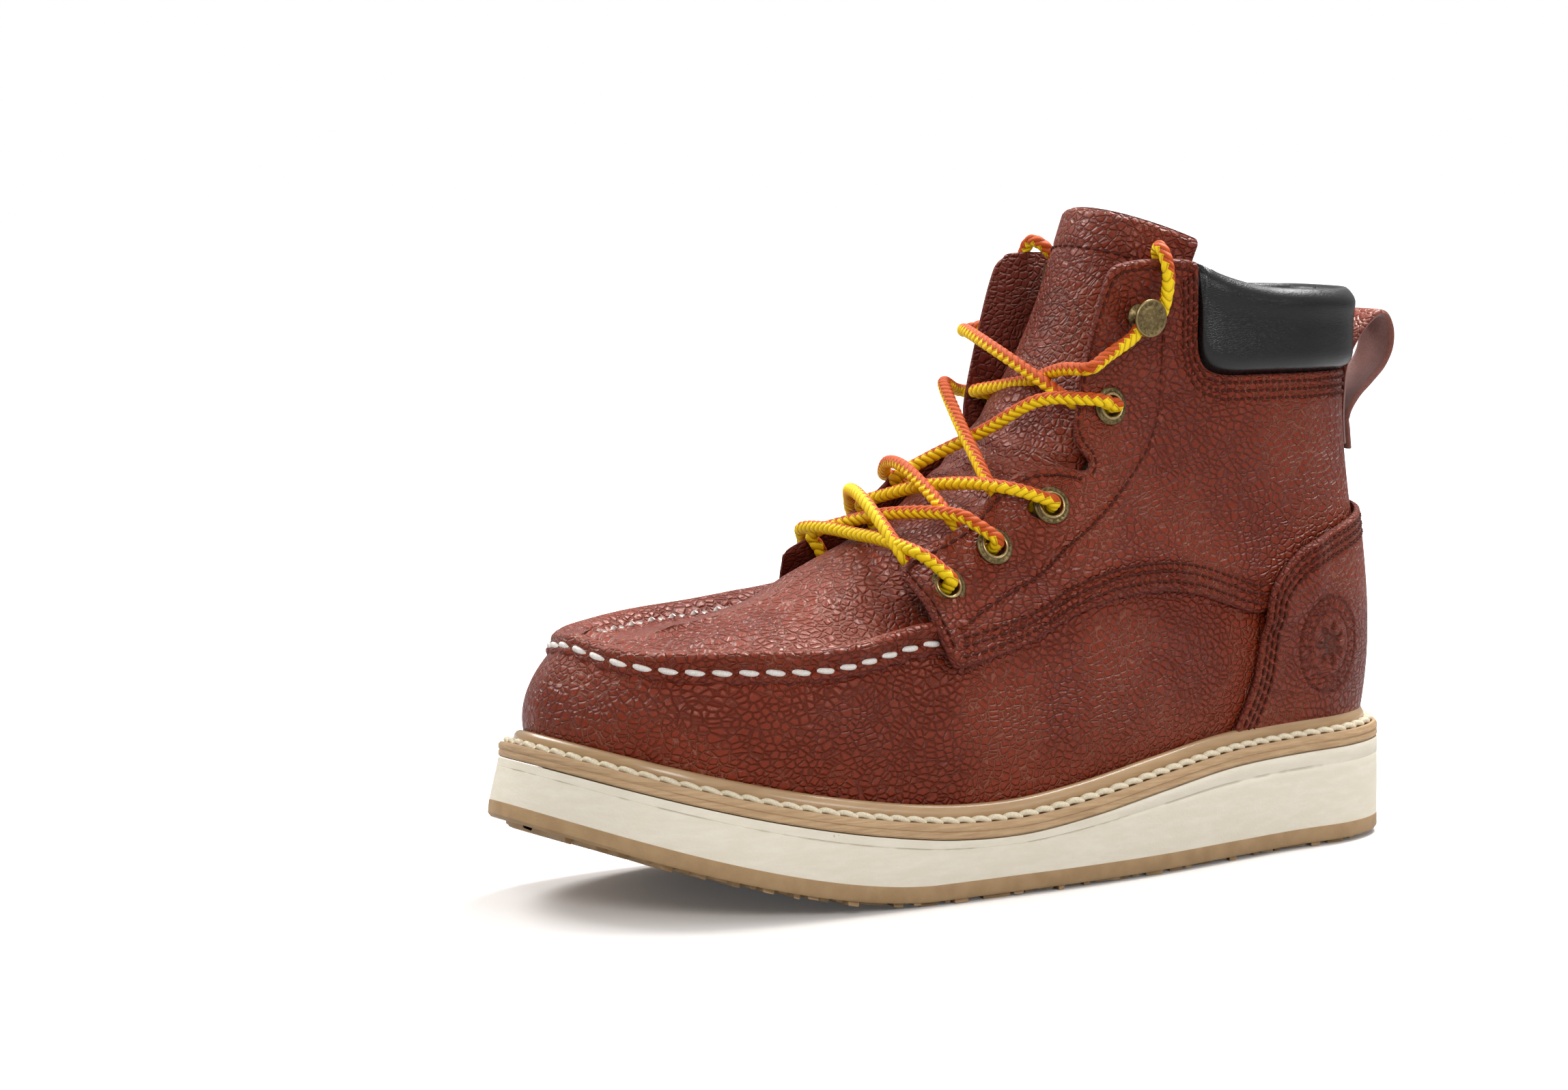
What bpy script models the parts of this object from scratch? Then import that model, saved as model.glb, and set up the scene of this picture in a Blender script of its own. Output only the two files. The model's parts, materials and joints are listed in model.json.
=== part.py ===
"""Moc-toe steel toe work boot, left foot, laced, as separate pieces.

Frame: +X towards the toe, +Y towards the wearer's left (the outer side), +Z up.
The origin is at the middle of the boot's box, on the surface that it stands on.
The shape functions work in millimetres from the back of the heel; meshes are made in metres.
"""
import math

import bmesh
import bpy
import numpy as np
from mathutils import Vector

# ---------------------------------------------------------------- driving dimensions (mm)
SOLE_LENGTH = 307.0
TOE_SPRING = 24.0          # height of the tread under the toe tip
SPRING_START = 203.0       # the tread is flat behind this, measured from the heel
OUTSOLE_THICK = 6.2
WELT_THICK = 4.6
FEATHER_INSET = 11.4       # from the sole's edge in to the foot of the upper
GAP = 0.3                  # clearance between touching pieces
LEATHER = 1.8
LINING = 1.0
LUG_DEPTH = 2.4
FOOTBED_TOP = 7.5          # above the welt
EYELET_OUTER = 5.5         # radius of the flange
EYELET_BORE = 3.1
LACE_DIAMETER = 4.0
SHAFT_START = 125.0        # the facing stands upright above this height
BOX_CENTRE = (148.2, 4.3)  # middle of the finished box, which becomes the origin
MM = 0.001

# Sole outline, heel centre -> outer side -> toe, and the same on the inner side (x, y).
SOLE_OUTER = [(0, 0), (3.5, 15), (12.5, 28), (30, 36.5), (55, 39.5), (85, 45.5), (115, 51.5), (145, 55),
              (175, 56.5), (205, 57.5), (235, 56.5), (262, 51), (283, 40.5), (298, 24), (SOLE_LENGTH, -4)]
SOLE_INNER = [(0, 0), (3.5, -15), (12.5, -28), (30, -36), (55, -38.5), (85, -38.5), (115, -38), (145, -39.5),
              (175, -43), (205, -47), (235, -49), (262, -47), (284, -41), (300, -27), (SOLE_LENGTH, -4)]

# Height of the midsole's top edge above the ground, by x.
MIDSOLE_TOP = [(0, 31), (50, 30), (85, 28.8), (115, 25.2), (145, 20.6), (170, 18), (195, 18.6), (220, 21.8),
               (245, 26.4), (268, 31.8), (290, 38), (307, 43.5)]

# Top edge of the upper by u (0 at the back of the heel, 1 at the toe tip): x, half width, z.
TOP_EDGE = [(0.0, 12.5, 0, 173), (0.05, 15, 13, 173), (0.10, 24, 24, 173), (0.16, 40, 30, 173.5),
            (0.24, 62, 32, 175), (0.30, 78, 32.5, 178.5), (0.34, 89, 32.5, 182.5), (0.40, 105, 32, 184),
            (0.45, 119, 31, 182), (0.48, 127, 30, 170), (0.51, 131, 29, 152), (0.54, 135, 28.5, 136),
            (0.565, 141, 28, 126), (0.60, 158, 27.5, 116), (0.635, 177, 27, 105.5), (0.665, 191, 28, 99),
            (0.69, 200, 30.5, 93), (0.71, 209, 34, 84.5), (0.735, 221, 37, 78.5), (0.765, 236, 37.5, 77),
            (0.81, 254, 34, 76.5), (0.86, 269.5, 27, 76.5), (0.93, 281, 15.5, 77), (1.0, 286, 0, 77.5)]

# How far the wall swells outwards low down and high up, by u, on the outer and the inner side.
SWELL_LOW = {1: [(0, 11), (0.10, 10), (0.21, 8.5), (0.383, 9), (0.467, 12), (0.55, 12), (0.634, 9), (0.71, 5),
                 (0.8, 4), (1.0, 4)],
             -1: [(0, 11), (0.10, 10), (0.21, 8.5), (0.383, 5), (0.467, 5), (0.55, 7), (0.634, 7), (0.71, 5),
                  (0.8, 4), (1.0, 4)]}
SWELL_HIGH = {1: [(0, -13), (0.10, -11), (0.21, -8), (0.383, -14), (0.467, -12), (0.55, 0), (0.634, 10),
                  (0.71, 8), (0.8, 4.5), (1.0, 4)],
              -1: [(0, -13), (0.10, -11), (0.21, -8), (0.383, -6), (0.467, -3), (0.55, 4), (0.634, 9),
                   (0.71, 8), (0.8, 4.5), (1.0, 4)]}

# Middle line of the forefoot in plan, and the apron's crown, by x.
MIDDLE_LINE = [(0, 0), (120, 0), (180, 2), (230, 3.5), (260, 1.5), (280, -2), (291, -4)]
APRON_CROWN = [(185, 104), (200, 97.5), (215, 90.5), (230, 85), (250, 80.8), (268, 78.5), (285, 76.5)]
APRON_DROP = [(185, 27), (200, 18.5), (215, 11), (230, 6.5), (250, 3.5), (268, 2), (285, 0.5)]
APRON_HALF = [(185, 40), (216, 38), (232, 37.5), (252, 34), (268, 26), (279, 14), (285, 3)]

# Middle line of the tongue, from under the apron to its top: s, x, z of its outer face.
TONGUE_LINE = [(0.0, 204, 88), (0.12, 189, 95.5), (0.28, 168, 106), (0.42, 150, 115), (0.52, 138.5, 125),
               (0.64, 129.5, 143), (0.78, 122, 165), (0.90, 115.5, 185), (1.0, 109.5, 200.5)]
TONGUE_HALF = [(0.0, 16), (0.12, 18), (0.3, 20), (0.5, 21.5), (0.8, 22.5), (1.0, 26)]
TONGUE_DROP = [(0.0, 3), (0.12, 6), (0.3, 9), (0.5, 14), (0.8, 22), (1.0, 26)]
TONGUE_THICK = 4.5

# Eyelets and hooks by u and height, lowest first; the last one is the hook.
FASTENINGS = [(0.642, 89.5), (0.608, 100.0), (0.556, 111.0), (0.440, 140.0), (0.415, 167.0)]

COLOURS = {
    "leather": (0.165, 0.030, 0.015), "black": (0.012, 0.012, 0.013), "brass": (0.20, 0.145, 0.06),
    "rand": (0.36, 0.21, 0.10), "cream": (0.75, 0.67, 0.52), "gum": (0.33, 0.19, 0.08),
    "thread": (0.80, 0.72, 0.55), "yellow": (0.85, 0.55, 0.02), "steel": (0.45, 0.46, 0.47),
    "board": (0.45, 0.30, 0.17), "cork": (0.40, 0.24, 0.12), "foam": (0.05, 0.05, 0.06),
    "lining": (0.18, 0.11, 0.07),
}


# ---------------------------------------------------------------- curves
def keyed(table, x, column=1):
    """Smooth value at x through the rows of a table, flat beyond its ends."""
    keys = np.array([row[0] for row in table], float)
    vals = np.array([row[column] for row in table], float)
    x = np.clip(np.asarray(x, float), keys[0], keys[-1])
    slopes = np.gradient(vals, keys)
    i = np.clip(np.searchsorted(keys, x, side="right") - 1, 0, len(keys) - 2)
    width = keys[i + 1] - keys[i]
    t = (x - keys[i]) / width
    return ((2 * t**3 - 3 * t**2 + 1) * vals[i] + (t**3 - 2 * t**2 + t) * width * slopes[i]
            + (3 * t**2 - 2 * t**3) * vals[i + 1] + (t**3 - t**2) * width * slopes[i + 1])


def spline(points, count, closed=False, steps=24):
    """Points on a smooth curve through the given points.

    With a count they are evenly spaced; with None there are so many steps between two points.
    """
    pts = np.array(points, float)
    if closed:
        pts = np.vstack([pts[-1], pts, pts[0], pts[1]])
    else:
        pts = np.vstack([2 * pts[0] - pts[1], pts, 2 * pts[-1] - pts[-2]])
    out = []
    for a, b, c, d in zip(pts[:-3], pts[1:-2], pts[2:-1], pts[3:]):
        t = np.linspace(0, 1, steps, endpoint=False)[:, None]
        out.append(0.5 * (2 * b + (c - a) * t + (2 * a - 5 * b + 4 * c - d) * t**2
                          + (3 * b - a - 3 * c + d) * t**3))
    out = np.vstack(out + [pts[-2][None]])
    if count is None:
        return out
    run = np.r_[0, np.cumsum(np.linalg.norm(np.diff(out, axis=0), axis=1))]
    want = np.linspace(0, run[-1], count)
    return np.stack([np.interp(want, run, out[:, k]) for k in range(out.shape[1])], axis=1)


def make_outline(rows, count=721):
    """The sole's edge as one closed curve; returns the outer and inner halves by u."""
    whole = spline(SOLE_OUTER + SOLE_INNER[::-1][1:-1], 2 * count, closed=True)
    toe = int(np.argmax(whole[:, 0]))
    half = whole[:toe + 1] if rows == "outer" else whole[toe:][::-1]
    run = np.r_[0, np.cumsum(np.linalg.norm(np.diff(half, axis=0), axis=1))]
    return run / run[-1], half


OUTLINE = {1: make_outline("outer"), -1: make_outline("inner")}


def edge_point(u, side, inset=0.0):
    """Point of the sole's edge at u on one side, moved in by inset, and its outward normal."""
    run, half = OUTLINE[side]
    step = 0.004
    point = np.stack([np.interp(u, run, half[:, k]) for k in (0, 1)], axis=-1)
    lo, hi = np.clip(np.asarray(u) - step, 0, 1), np.clip(np.asarray(u) + step, 0, 1)
    along = np.stack([np.interp(hi, run, half[:, k]) - np.interp(lo, run, half[:, k]) for k in (0, 1)], -1)
    normal = np.stack([-along[..., 1], along[..., 0]], -1) * side
    normal /= np.linalg.norm(normal, axis=-1, keepdims=True)
    at_ends = (np.asarray(u) <= 0) | (np.asarray(u) >= 1)
    straight = np.stack([np.where(np.asarray(u) <= 0, -1.0, 1.0), np.zeros(np.shape(u))], -1)
    normal = np.where(at_ends[..., None], straight, normal)
    return point - normal * np.asarray(inset)[..., None], normal


def ground(x):
    """Height of the tread's lowest surface at x: flat, then lifting towards the toe."""
    return TOE_SPRING * np.clip((x - SPRING_START) / (SOLE_LENGTH - SPRING_START), 0, None) ** 1.6


def midsole_top(x):
    return keyed(MIDSOLE_TOP, x)


def welt_top(x):
    return midsole_top(x) + GAP + WELT_THICK


# ---------------------------------------------------------------- the upper's shape
def upper(u, z, side, offset=0.0):
    """Point of the upper at u and height z on one side, offset outwards along its normal."""
    u, z = np.broadcast_arrays(np.asarray(u, float), np.asarray(z, float))

    def surface(u, z):
        foot, normal = edge_point(u, side, FEATHER_INSET)
        foot_z = welt_top(foot[..., 0]) + GAP
        top_x, top_half, top_z = (keyed(TOP_EDGE, u, k) for k in (1, 2, 3))
        top = np.stack([top_x, keyed(MIDDLE_LINE, top_x) + side * top_half], -1)
        v = (z - foot_z) / (top_z - foot_z)
        c = np.clip(v, 0, 1)
        swell = 3 * c * (1 - c)**2 * keyed(SWELL_LOW[side], u) + 3 * c**2 * (1 - c) * keyed(SWELL_HIGH[side], u)
        plan = foot + (top - foot) * v[..., None] + normal * swell[..., None]
        return np.concatenate([plan, z[..., None]], -1)

    point = surface(u, z)
    du = surface(np.minimum(u + 0.004, 1), z) - surface(np.maximum(u - 0.004, 0), z)
    dz = surface(u, z + 0.5) - surface(u, z - 0.5)
    normal = np.cross(du, dz) * -side
    normal /= np.linalg.norm(normal, axis=-1, keepdims=True)
    flip = np.sign(np.sum(normal[..., :2] * edge_point(u, side)[1], -1))
    normal *= np.where(flip == 0, 1, flip)[..., None]
    return point + normal * np.asarray(offset)[..., None]


def upper_signed(u, z, offset=0.0):
    """upper() for a signed u; at the toe u runs past 1 onto the inner side."""
    u = np.asarray(u, float)
    side = np.where((u < 0) | (u > 1), -1, 1)
    size = np.where(u > 1, 2 - u, np.abs(u))
    outer = upper(size, z, 1, offset)
    inner = upper(size, z, -1, offset)
    return np.where((side == 1)[..., None], outer, inner)


def apron_height(x, y):
    """Height of the apron's field over the forefoot."""
    ratio = (y - keyed(MIDDLE_LINE, x)) / keyed(APRON_HALF, x)
    return keyed(APRON_CROWN, x) - keyed(APRON_DROP, x) * np.clip(ratio**2, 0, 1.6)


# ---------------------------------------------------------------- meshes
def material(name):
    """Principled material of one of the boot's substances."""
    if name in bpy.data.materials:
        return bpy.data.materials[name]
    made = bpy.data.materials.new(name)
    made.use_nodes = True
    shader = made.node_tree.nodes["Principled BSDF"]
    shader.inputs["Base Color"].default_value = (*COLOURS[name], 1)
    shader.inputs["Metallic"].default_value = 1.0 if name in ("brass", "steel") else 0.0
    shader.inputs["Roughness"].default_value = 0.35 if name in ("brass", "steel", "black") else 0.55
    return made


def place(point):
    """Millimetres from the heel to metres in the boot's frame."""
    return ((point[0] - BOX_CENTRE[0]) * MM, (point[1] - BOX_CENTRE[1]) * MM, point[2] * MM)


def add_mesh(name, verts, faces, substance, smooth=40):
    """One object from vertices in millimetres, with its faces turned outwards."""
    mesh = bpy.data.meshes.new(name)
    mesh.from_pydata([place(v) for v in verts], [], faces)
    body = bmesh.new()
    body.from_mesh(mesh)
    bmesh.ops.remove_doubles(body, verts=body.verts, dist=1e-6)
    bmesh.ops.dissolve_degenerate(body, edges=body.edges, dist=1e-6)
    bmesh.ops.recalc_face_normals(body, faces=body.faces)
    body.to_mesh(mesh)
    body.free()
    mesh.materials.append(material(substance))
    mesh.shade_smooth()
    mesh.set_sharp_from_angle(angle=math.radians(smooth))
    made = bpy.data.objects.new(name, mesh)
    bpy.context.scene.collection.objects.link(made)
    return made


def grid_faces(rows, columns, start=0, loop_rows=False, loop_columns=False):
    faces = []
    for i in range(rows if loop_rows else rows - 1):
        for j in range(columns if loop_columns else columns - 1):
            a, b = i, (i + 1) % rows
            c, d = j, (j + 1) % columns
            faces.append([start + a * columns + c, start + b * columns + c,
                          start + b * columns + d, start + a * columns + d])
    return faces


def shell(name, outer, inner, substance, welded=False):
    """A sheet with thickness: two grids of points joined round their edges.

    With welded, the last column folds back on itself and its two halves merge.
    """
    rows, columns = outer.shape[:2]
    verts = np.vstack([outer.reshape(-1, 3), inner.reshape(-1, 3)])
    base = rows * columns
    faces = grid_faces(rows, columns)
    faces += [f[::-1] for f in grid_faces(rows, columns, base)]
    last = (rows - 1) * columns
    rim = [(i * columns, (i + 1) * columns) for i in range(rows - 1)]
    rim += [(last + j, last + j + 1) for j in range(columns - 1)]
    rim += [(j + 1, j) for j in range(columns - 1)]
    if not welded:
        rim += [((i + 1) * columns + columns - 1, i * columns + columns - 1) for i in range(rows - 1)]
    faces += [[a, b, base + b, base + a] for a, b in rim]
    return add_mesh(name, verts, faces, substance)


def loft(name, rings, substance, closed=False, smooth=40):
    """A solid through rings of points, capped at both ends unless it closes on itself."""
    rings = np.array(rings)
    rows, columns = rings.shape[:2]
    faces = grid_faces(rows, columns, loop_rows=closed, loop_columns=True)
    if not closed:
        faces.append(list(range(columns))[::-1])
        faces.append([(rows - 1) * columns + j for j in range(columns)])
    return add_mesh(name, rings.reshape(-1, 3), faces, substance, smooth)


def tube(name, points, diameter, substance, resolution=2):
    """A round cord along a list of points in millimetres."""
    data = bpy.data.curves.new(name, "CURVE")
    data.dimensions = "3D"
    data.bevel_depth = diameter / 2 * MM
    data.bevel_resolution = resolution
    data.use_fill_caps = True
    data.render_resolution_u = 0
    line = data.splines.new("POLY")
    line.points.add(len(points) - 1)
    for knot, point in zip(line.points, points):
        knot.co = (*place(point), 1)
    data.materials.append(material(substance))
    made = bpy.data.objects.new(name, data)
    bpy.context.scene.collection.objects.link(made)
    return made


# ---------------------------------------------------------------- sole
def u_values(count):
    """Signed u once round the boot: outer side heel to toe, then back along the inner side."""
    outer = np.linspace(0, 1, count)
    return [(u, 1) for u in outer[:-1]] + [(u, -1) for u in outer[::-1][:-1]]


def band(name, profile, substance, count=40):
    """A ring round the boot through (inset, base height function, rise) triples."""
    rings = []
    for u, side in u_values(count):
        ring = []
        for inset, base, rise in profile:
            point, _ = edge_point(u, side, inset)
            ring.append((point[0], point[1], float(base(point[0])) + rise))
        rings.append(ring)
    return loft(name, rings, substance, closed=True)


def half_widths(x, inset):
    """Inner and outer y of the sole's outline, moved in by inset, at x."""
    out = []
    for side in (-1, 1):
        points, _ = edge_point(np.linspace(0, 1, 400), side, inset)
        points = points[np.argsort(points[:, 0])]
        out.append(float(np.interp(x, points[:, 0], points[:, 1])))
    return out


def slab(name, stations, inset, bottom, top, substance, across=5):
    """A plate in the sole's outline from bottom(x) to top(x)."""
    rings = []
    for x in stations:
        low_y, high_y = half_widths(x, inset)
        ys = np.linspace(low_y, high_y, across)
        ring = [(x, y, bottom(x)) for y in ys] + [(x, y, top(x)) for y in ys[::-1]]
        rings.append(ring)
    return loft(name, rings, substance)


def rounded_stations(start, end, count):
    """Stations along x, closer together at both rounded ends."""
    turn = np.linspace(0, math.pi, count)
    return (start + end) / 2 - (end - start) / 2 * np.cos(turn)


def build_sole():
    ends = (1.0, SOLE_LENGTH - 1.0)
    lugs = []
    for x in np.arange(14, 298, 9.0):
        lugs += [(x, 0), (x + 0.6, LUG_DEPTH), (x + 2.4, LUG_DEPTH), (x + 3.0, 0)]
    keys = [(ends[0], 0), (3.0, 0), (7.0, 0)] + lugs + [(301, 0), (304, 0), (ends[1], 0)]
    heights = dict(keys)
    rings = []
    for x in sorted(heights):
        low_y, high_y = half_widths(x, 0.3)
        cut = heights[x]
        top = ground(x) + OUTSOLE_THICK
        rings.append([(x, low_y, ground(x) + cut), (x, high_y, ground(x) + cut), (x, high_y, top),
                      (x, low_y, top)])
    loft("outsole", rings, "gum", smooth=20)
    slab("midsole_wedge", rounded_stations(ends[0], ends[1], 36), 0.5,
         lambda x: ground(x) + OUTSOLE_THICK + GAP, midsole_top, "cream", 3)
    band("welt", [(0.6, midsole_top, GAP), (0.6, welt_top, -1), (1.4, welt_top, 0), (16, welt_top, 0),
                  (16, midsole_top, GAP)], "rand")
    band("rand", [(5.4, welt_top, GAP), (4.9, welt_top, 1.8), (5.4, welt_top, 3.7), (6.6, welt_top, 4.4),
                  (7.6, welt_top, 3.2), (7.6, welt_top, GAP)], "rand")
    band("welt_thread", [(3.4 + 0.75 * math.cos(a), welt_top, GAP + 0.75 + 0.75 * math.sin(a))
                         for a in np.arange(5) * math.pi / 2.5], "thread")
    inner = rounded_stations(18.5, 288, 26)
    slab("cork_filler", inner, 17.5, lambda x: midsole_top(x) + GAP, lambda x: midsole_top(x) + 2.4, "cork", 3)
    slab("insole_board", rounded_stations(14.5, 291, 26), 13.8, lambda x: welt_top(x) + GAP,
         lambda x: welt_top(x) + 2.4, "board", 3)
    slab("footbed", rounded_stations(18.5, 285, 30), 17.5, lambda x: welt_top(x) + 2.7,
         lambda x: welt_top(x) + FOOTBED_TOP, "foam", 5)
    rings = []
    for x in np.linspace(62, 172, 16):
        z = midsole_top(x) + 2.8
        rings.append([(x, -5, z), (x, 11, z), (x, 11, z + 1.4), (x, -5, z + 1.4)])
    loft("steel_shank", rings, "steel")


# ---------------------------------------------------------------- leather panels
def between(low, high, steps, rows):
    """Grid of (u, z) pairs between two edges given as lists of (u, z) points that face each other."""
    low, high = spline(low, None, steps=steps), spline(high, None, steps=steps)
    share = np.linspace(0, 1, rows)[None, :, None]
    return low[:, None] + (high - low)[:, None] * share


def panel(name, grid, offset, thick, substance="leather"):
    """A leather panel over a grid of signed (u, z), its inner face at offset from the upper."""
    u, z = grid[..., 0], grid[..., 1]
    return shell(name, upper_signed(u, z, offset + thick), upper_signed(u, z, offset), substance)


# Lower edge of the quarter and its upper edge, back to front, as (u, z).
QUARTER_LOW = [(0.012, 96), (0.08, 95), (0.15, 89), (0.205, 77), (0.25, 75), (0.30, 79.5), (0.345, 83),
               (0.40, 84), (0.44, 82.5), (0.49, 78.5), (0.55, 73.5), (0.60, 69), (0.635, 66.5)]
QUARTER_HIGH = [(0.012, 144), (0.12, 144.5), (0.235, 144.5), (0.29, 146), (0.335, 156), (0.355, 181.5),
                (0.405, 182.5), (0.44, 181.5), (0.474, 168), (0.491, 150), (0.515, 134), (0.60, 113.5),
                (0.688, 92)]
INNER_BACK = 0.016         # the inner facing stands this much further back, in u
COUNTER_HIGH = [(0.0, 104.5), (0.08, 103), (0.15, 98.5), (0.205, 91), (0.24, 80)]
COUNTER_FRONT = 0.272      # u of the counter's front edge at its foot
COLLAR_LOW = [(0.0, 146), (0.12, 146), (0.225, 146), (0.285, 148), (0.325, 160)]
LINING_TOP = [(0.0, 170), (0.24, 172), (0.34, 178.5), (0.385, 180), (0.40, 150), (0.43, 122), (0.50, 98),
              (0.56, 88), (0.62, 80), (0.69, 70), (0.80, 69)]


def smooth_step(value):
    t = np.clip(value, 0, 1)
    return t * t * (3 - 2 * t)


def quarter_offset(u, z, low):
    """The quarter lies over the vamp along its lower edge and closer in above it."""
    return 0.4 + 2.0 * (1 - smooth_step((z - low - 9) / 16)) * smooth_step((u - 0.17) / 0.035)


def fastening_frame(u, z, side):
    """Centre on the quarter's outer face, outward normal, and a tangent, in millimetres."""
    centre = upper(u, z, side, 0.4 + LEATHER)
    inner = upper(u, z, side, 0.4)
    normal = (centre - inner) / np.linalg.norm(centre - inner)
    tangent = np.cross(normal, (0, 0, 1))
    return centre, normal, tangent / np.linalg.norm(tangent)


def turned(name, frame, profile, substance, count=14):
    """A turned ring about a fastening's axis; profile is (radius, height) pairs in order."""
    centre, normal, tangent = frame
    other = np.cross(normal, tangent)
    rings = []
    for angle in np.arange(count) * 2 * math.pi / count:
        arm = tangent * math.cos(angle) + other * math.sin(angle)
        rings.append([centre + arm * radius + normal * height for radius, height in profile])
    return loft(name, rings, substance, closed=True)


def cut_hole(panel_object, frame, radius):
    """Bore a round hole through a panel along a fastening's axis."""
    centre, normal, _ = frame
    bpy.ops.mesh.primitive_cylinder_add(vertices=16, radius=radius * MM, depth=12 * MM,
                                        location=place(centre))
    cutter = bpy.context.object
    cutter.rotation_mode = "QUATERNION"
    cutter.rotation_quaternion = Vector(normal).to_track_quat("Z", "Y")
    cutter.name = "cutter_" + panel_object.name
    cutter.hide_render = True
    cutter.display_type = "WIRE"
    cut = panel_object.modifiers.new("hole", "BOOLEAN")
    cut.operation = "DIFFERENCE"
    cut.solver = "MANIFOLD"
    cut.object = cutter


def build_quarters():
    for side, name in ((1, "outer"), (-1, "inner")):
        back = INNER_BACK if side < 0 else 0.0
        high = [(u - back if u > 0.43 and z > 120 else u, z) for u, z in QUARTER_HIGH]
        grid = between(QUARTER_LOW, high, 2, 9)
        u, z = grid[..., 0], grid[..., 1]
        low = grid[:, :1, 1]
        inner = quarter_offset(u, z, low)
        made = shell("quarter_" + name, upper(u, z, side, inner + LEATHER), upper(u, z, side, inner), "leather")
        for number, (hole_u, hole_z) in enumerate(FASTENINGS, 1):
            frame = fastening_frame(hole_u, hole_z, side)
            if number < len(FASTENINGS):
                cut_hole(made, frame, EYELET_BORE + 1.0)
                turned("eyelet_%s_%d" % (name, number), frame,
                       [(EYELET_BORE, -LEATHER - 0.7), (EYELET_BORE + 0.7, -LEATHER - 0.7),
                        (EYELET_BORE + 0.7, 1.0), (EYELET_OUTER, 1.0), (EYELET_OUTER, 1.5),
                        (EYELET_BORE, 2.0)], "brass")


def build_vamp():
    """The wall round the foot, from the counter on the outer side round the toe to the inner side."""
    rear = 0.205
    u = np.concatenate([np.linspace(rear, 0.9, 20), np.linspace(0.93, 1.07, 5), np.linspace(1.1, 2 - rear, 20)])
    size = np.where(u > 1, 2 - u, u)
    foot = [edge_point(size, side, FEATHER_INSET)[0][:, 0] for side in (-1, 1)]
    low = welt_top(np.where(u > 1, *foot)) + 1.8
    quarter = np.interp(size, [p[0] for p in QUARTER_LOW], [p[1] for p in QUARTER_LOW]) + 6
    blend = np.clip((size - 0.56) / 0.07, 0, 1)
    high = quarter * (1 - blend) + 70.0 * blend
    rows = np.linspace(0, 1, 6)
    z = low[:, None] + (high - low)[:, None] * rows
    grid = np.stack([np.broadcast_to(u[:, None], z.shape), z], -1)
    return panel("vamp", grid, 0.3, LEATHER)


def build_apron():
    """The moc-toe apron: a crowned field, a rounded ridge, and a lip over the vamp's edge."""
    rear = 0.67
    around = np.concatenate([np.linspace(rear, 0.9, 10), np.linspace(0.93, 1.07, 5), np.linspace(1.1, 2 - rear, 10)])
    outer, inner = [], []
    for u in around:
        size, side = (u, 1) if u <= 1 else (2 - u, -1)
        lip = upper(size, 70.5, side, 2.4 + 0.3)
        waist = upper(size, 72.5, side, 2.4)
        edge = upper(size, 74.5, side, 3.4)
        x, y = edge[0], edge[1]
        centre_x = 196 + (262 - 196) * (size - rear) / (1 - rear)
        centre = np.array((centre_x, keyed(MIDDLE_LINE, centre_x)))
        run = centre - (x, y)
        length = np.linalg.norm(run)
        run /= length
        top = max(float(apron_height(x, y)), 76.0)
        line = [lip, waist, edge, np.array((*((x, y) + run * 2.0), top + 2.2)),
                np.array((*((x, y) + run * 4.5), top + 1.6))]
        for part in (0.3, 0.65, 1.0):
            spot = (x, y) + run * (4.5 + (length - 4.5) * part)
            line.append(np.array((*spot, float(apron_height(*spot)))))
        outer.append(line)
        inner.append([lip - (0, 0, 0.2) - normal_in(run, 1.5), waist - normal_in(run, 1.6)]
                     + [edge - normal_in(run, 1.8)] + [p - (0, 0, 1.8) for p in line[3:]])
    return shell("apron", np.array(outer), np.array(inner), "leather", welded=True)


def normal_in(run, distance):
    """Step of the given length against the inward direction in plan."""
    return -np.array((run[0], run[1], 0)) * distance


def both_sides(rows):
    """Mirror a list of (u, z) points about the back of the heel, inner side first."""
    return [(-u, z) for u, z in rows[:0:-1]] + rows


def foot_z(u):
    """Height of the welt's top at a signed u."""
    return float(welt_top(edge_point(abs(u), 1 if u >= 0 else -1, FEATHER_INSET)[0][0]))


def build_heel():
    low_u = np.linspace(0, COUNTER_FRONT, len(COUNTER_HIGH))
    low = both_sides([(u, foot_z(u) + 6.0) for u in low_u])
    grid = between(low, both_sides(COUNTER_HIGH), 2, 7)
    u, z = np.abs(grid[..., 0]), grid[..., 1]
    edge = np.interp(u, [p[0] for p in QUARTER_LOW], [p[1] for p in QUARTER_LOW])
    over = (1 - smooth_step((z - edge - 9) / 18)) * smooth_step((z - edge + 9) / 6) * smooth_step((u - 0.15) / 0.03)
    offset = 3.1 + 1.8 * over
    shell("heel_counter_cover", upper_signed(grid[..., 0], grid[..., 1], offset + LEATHER),
          upper_signed(grid[..., 0], grid[..., 1], offset), "leather")
    span = np.linspace(-0.193, 0.193, 17)
    low = [(u, foot_z(u) + 2 * GAP) for u in span]
    high = [(u, 88 - 14 * (u / 0.193) ** 2) for u in span]
    panel("heel_stiffener", between(low, high, 1, 5), 0.5, 1.8, "board")
    strip = [(u, 106.0) for u in (-0.024, -0.012, 0.0, 0.012, 0.024)]
    panel("backstay", between(strip, [(u, 142.5) for u, _ in strip], 1, 8), 2.6, 1.6)


def build_collar():
    high_u = (0.0, 0.12, 0.24, 0.305, 0.342)
    high = both_sides([(u, float(keyed(TOP_EDGE, u, 3)) - 0.5) for u in high_u])
    panel("collar_pad", between(both_sides(COLLAR_LOW), high, 4, 4), 0.5, 3.9, "black")
    u = np.linspace(0, 0.785, 26)
    top = both_sides([(a, float(np.interp(a, *zip(*LINING_TOP)))) for a in u])
    low = [(a, foot_z(a) + 3.0) for a, _ in top]
    panel("lining", between(low, top, 1, 6), -0.8 - LINING, LINING, "lining")


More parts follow.
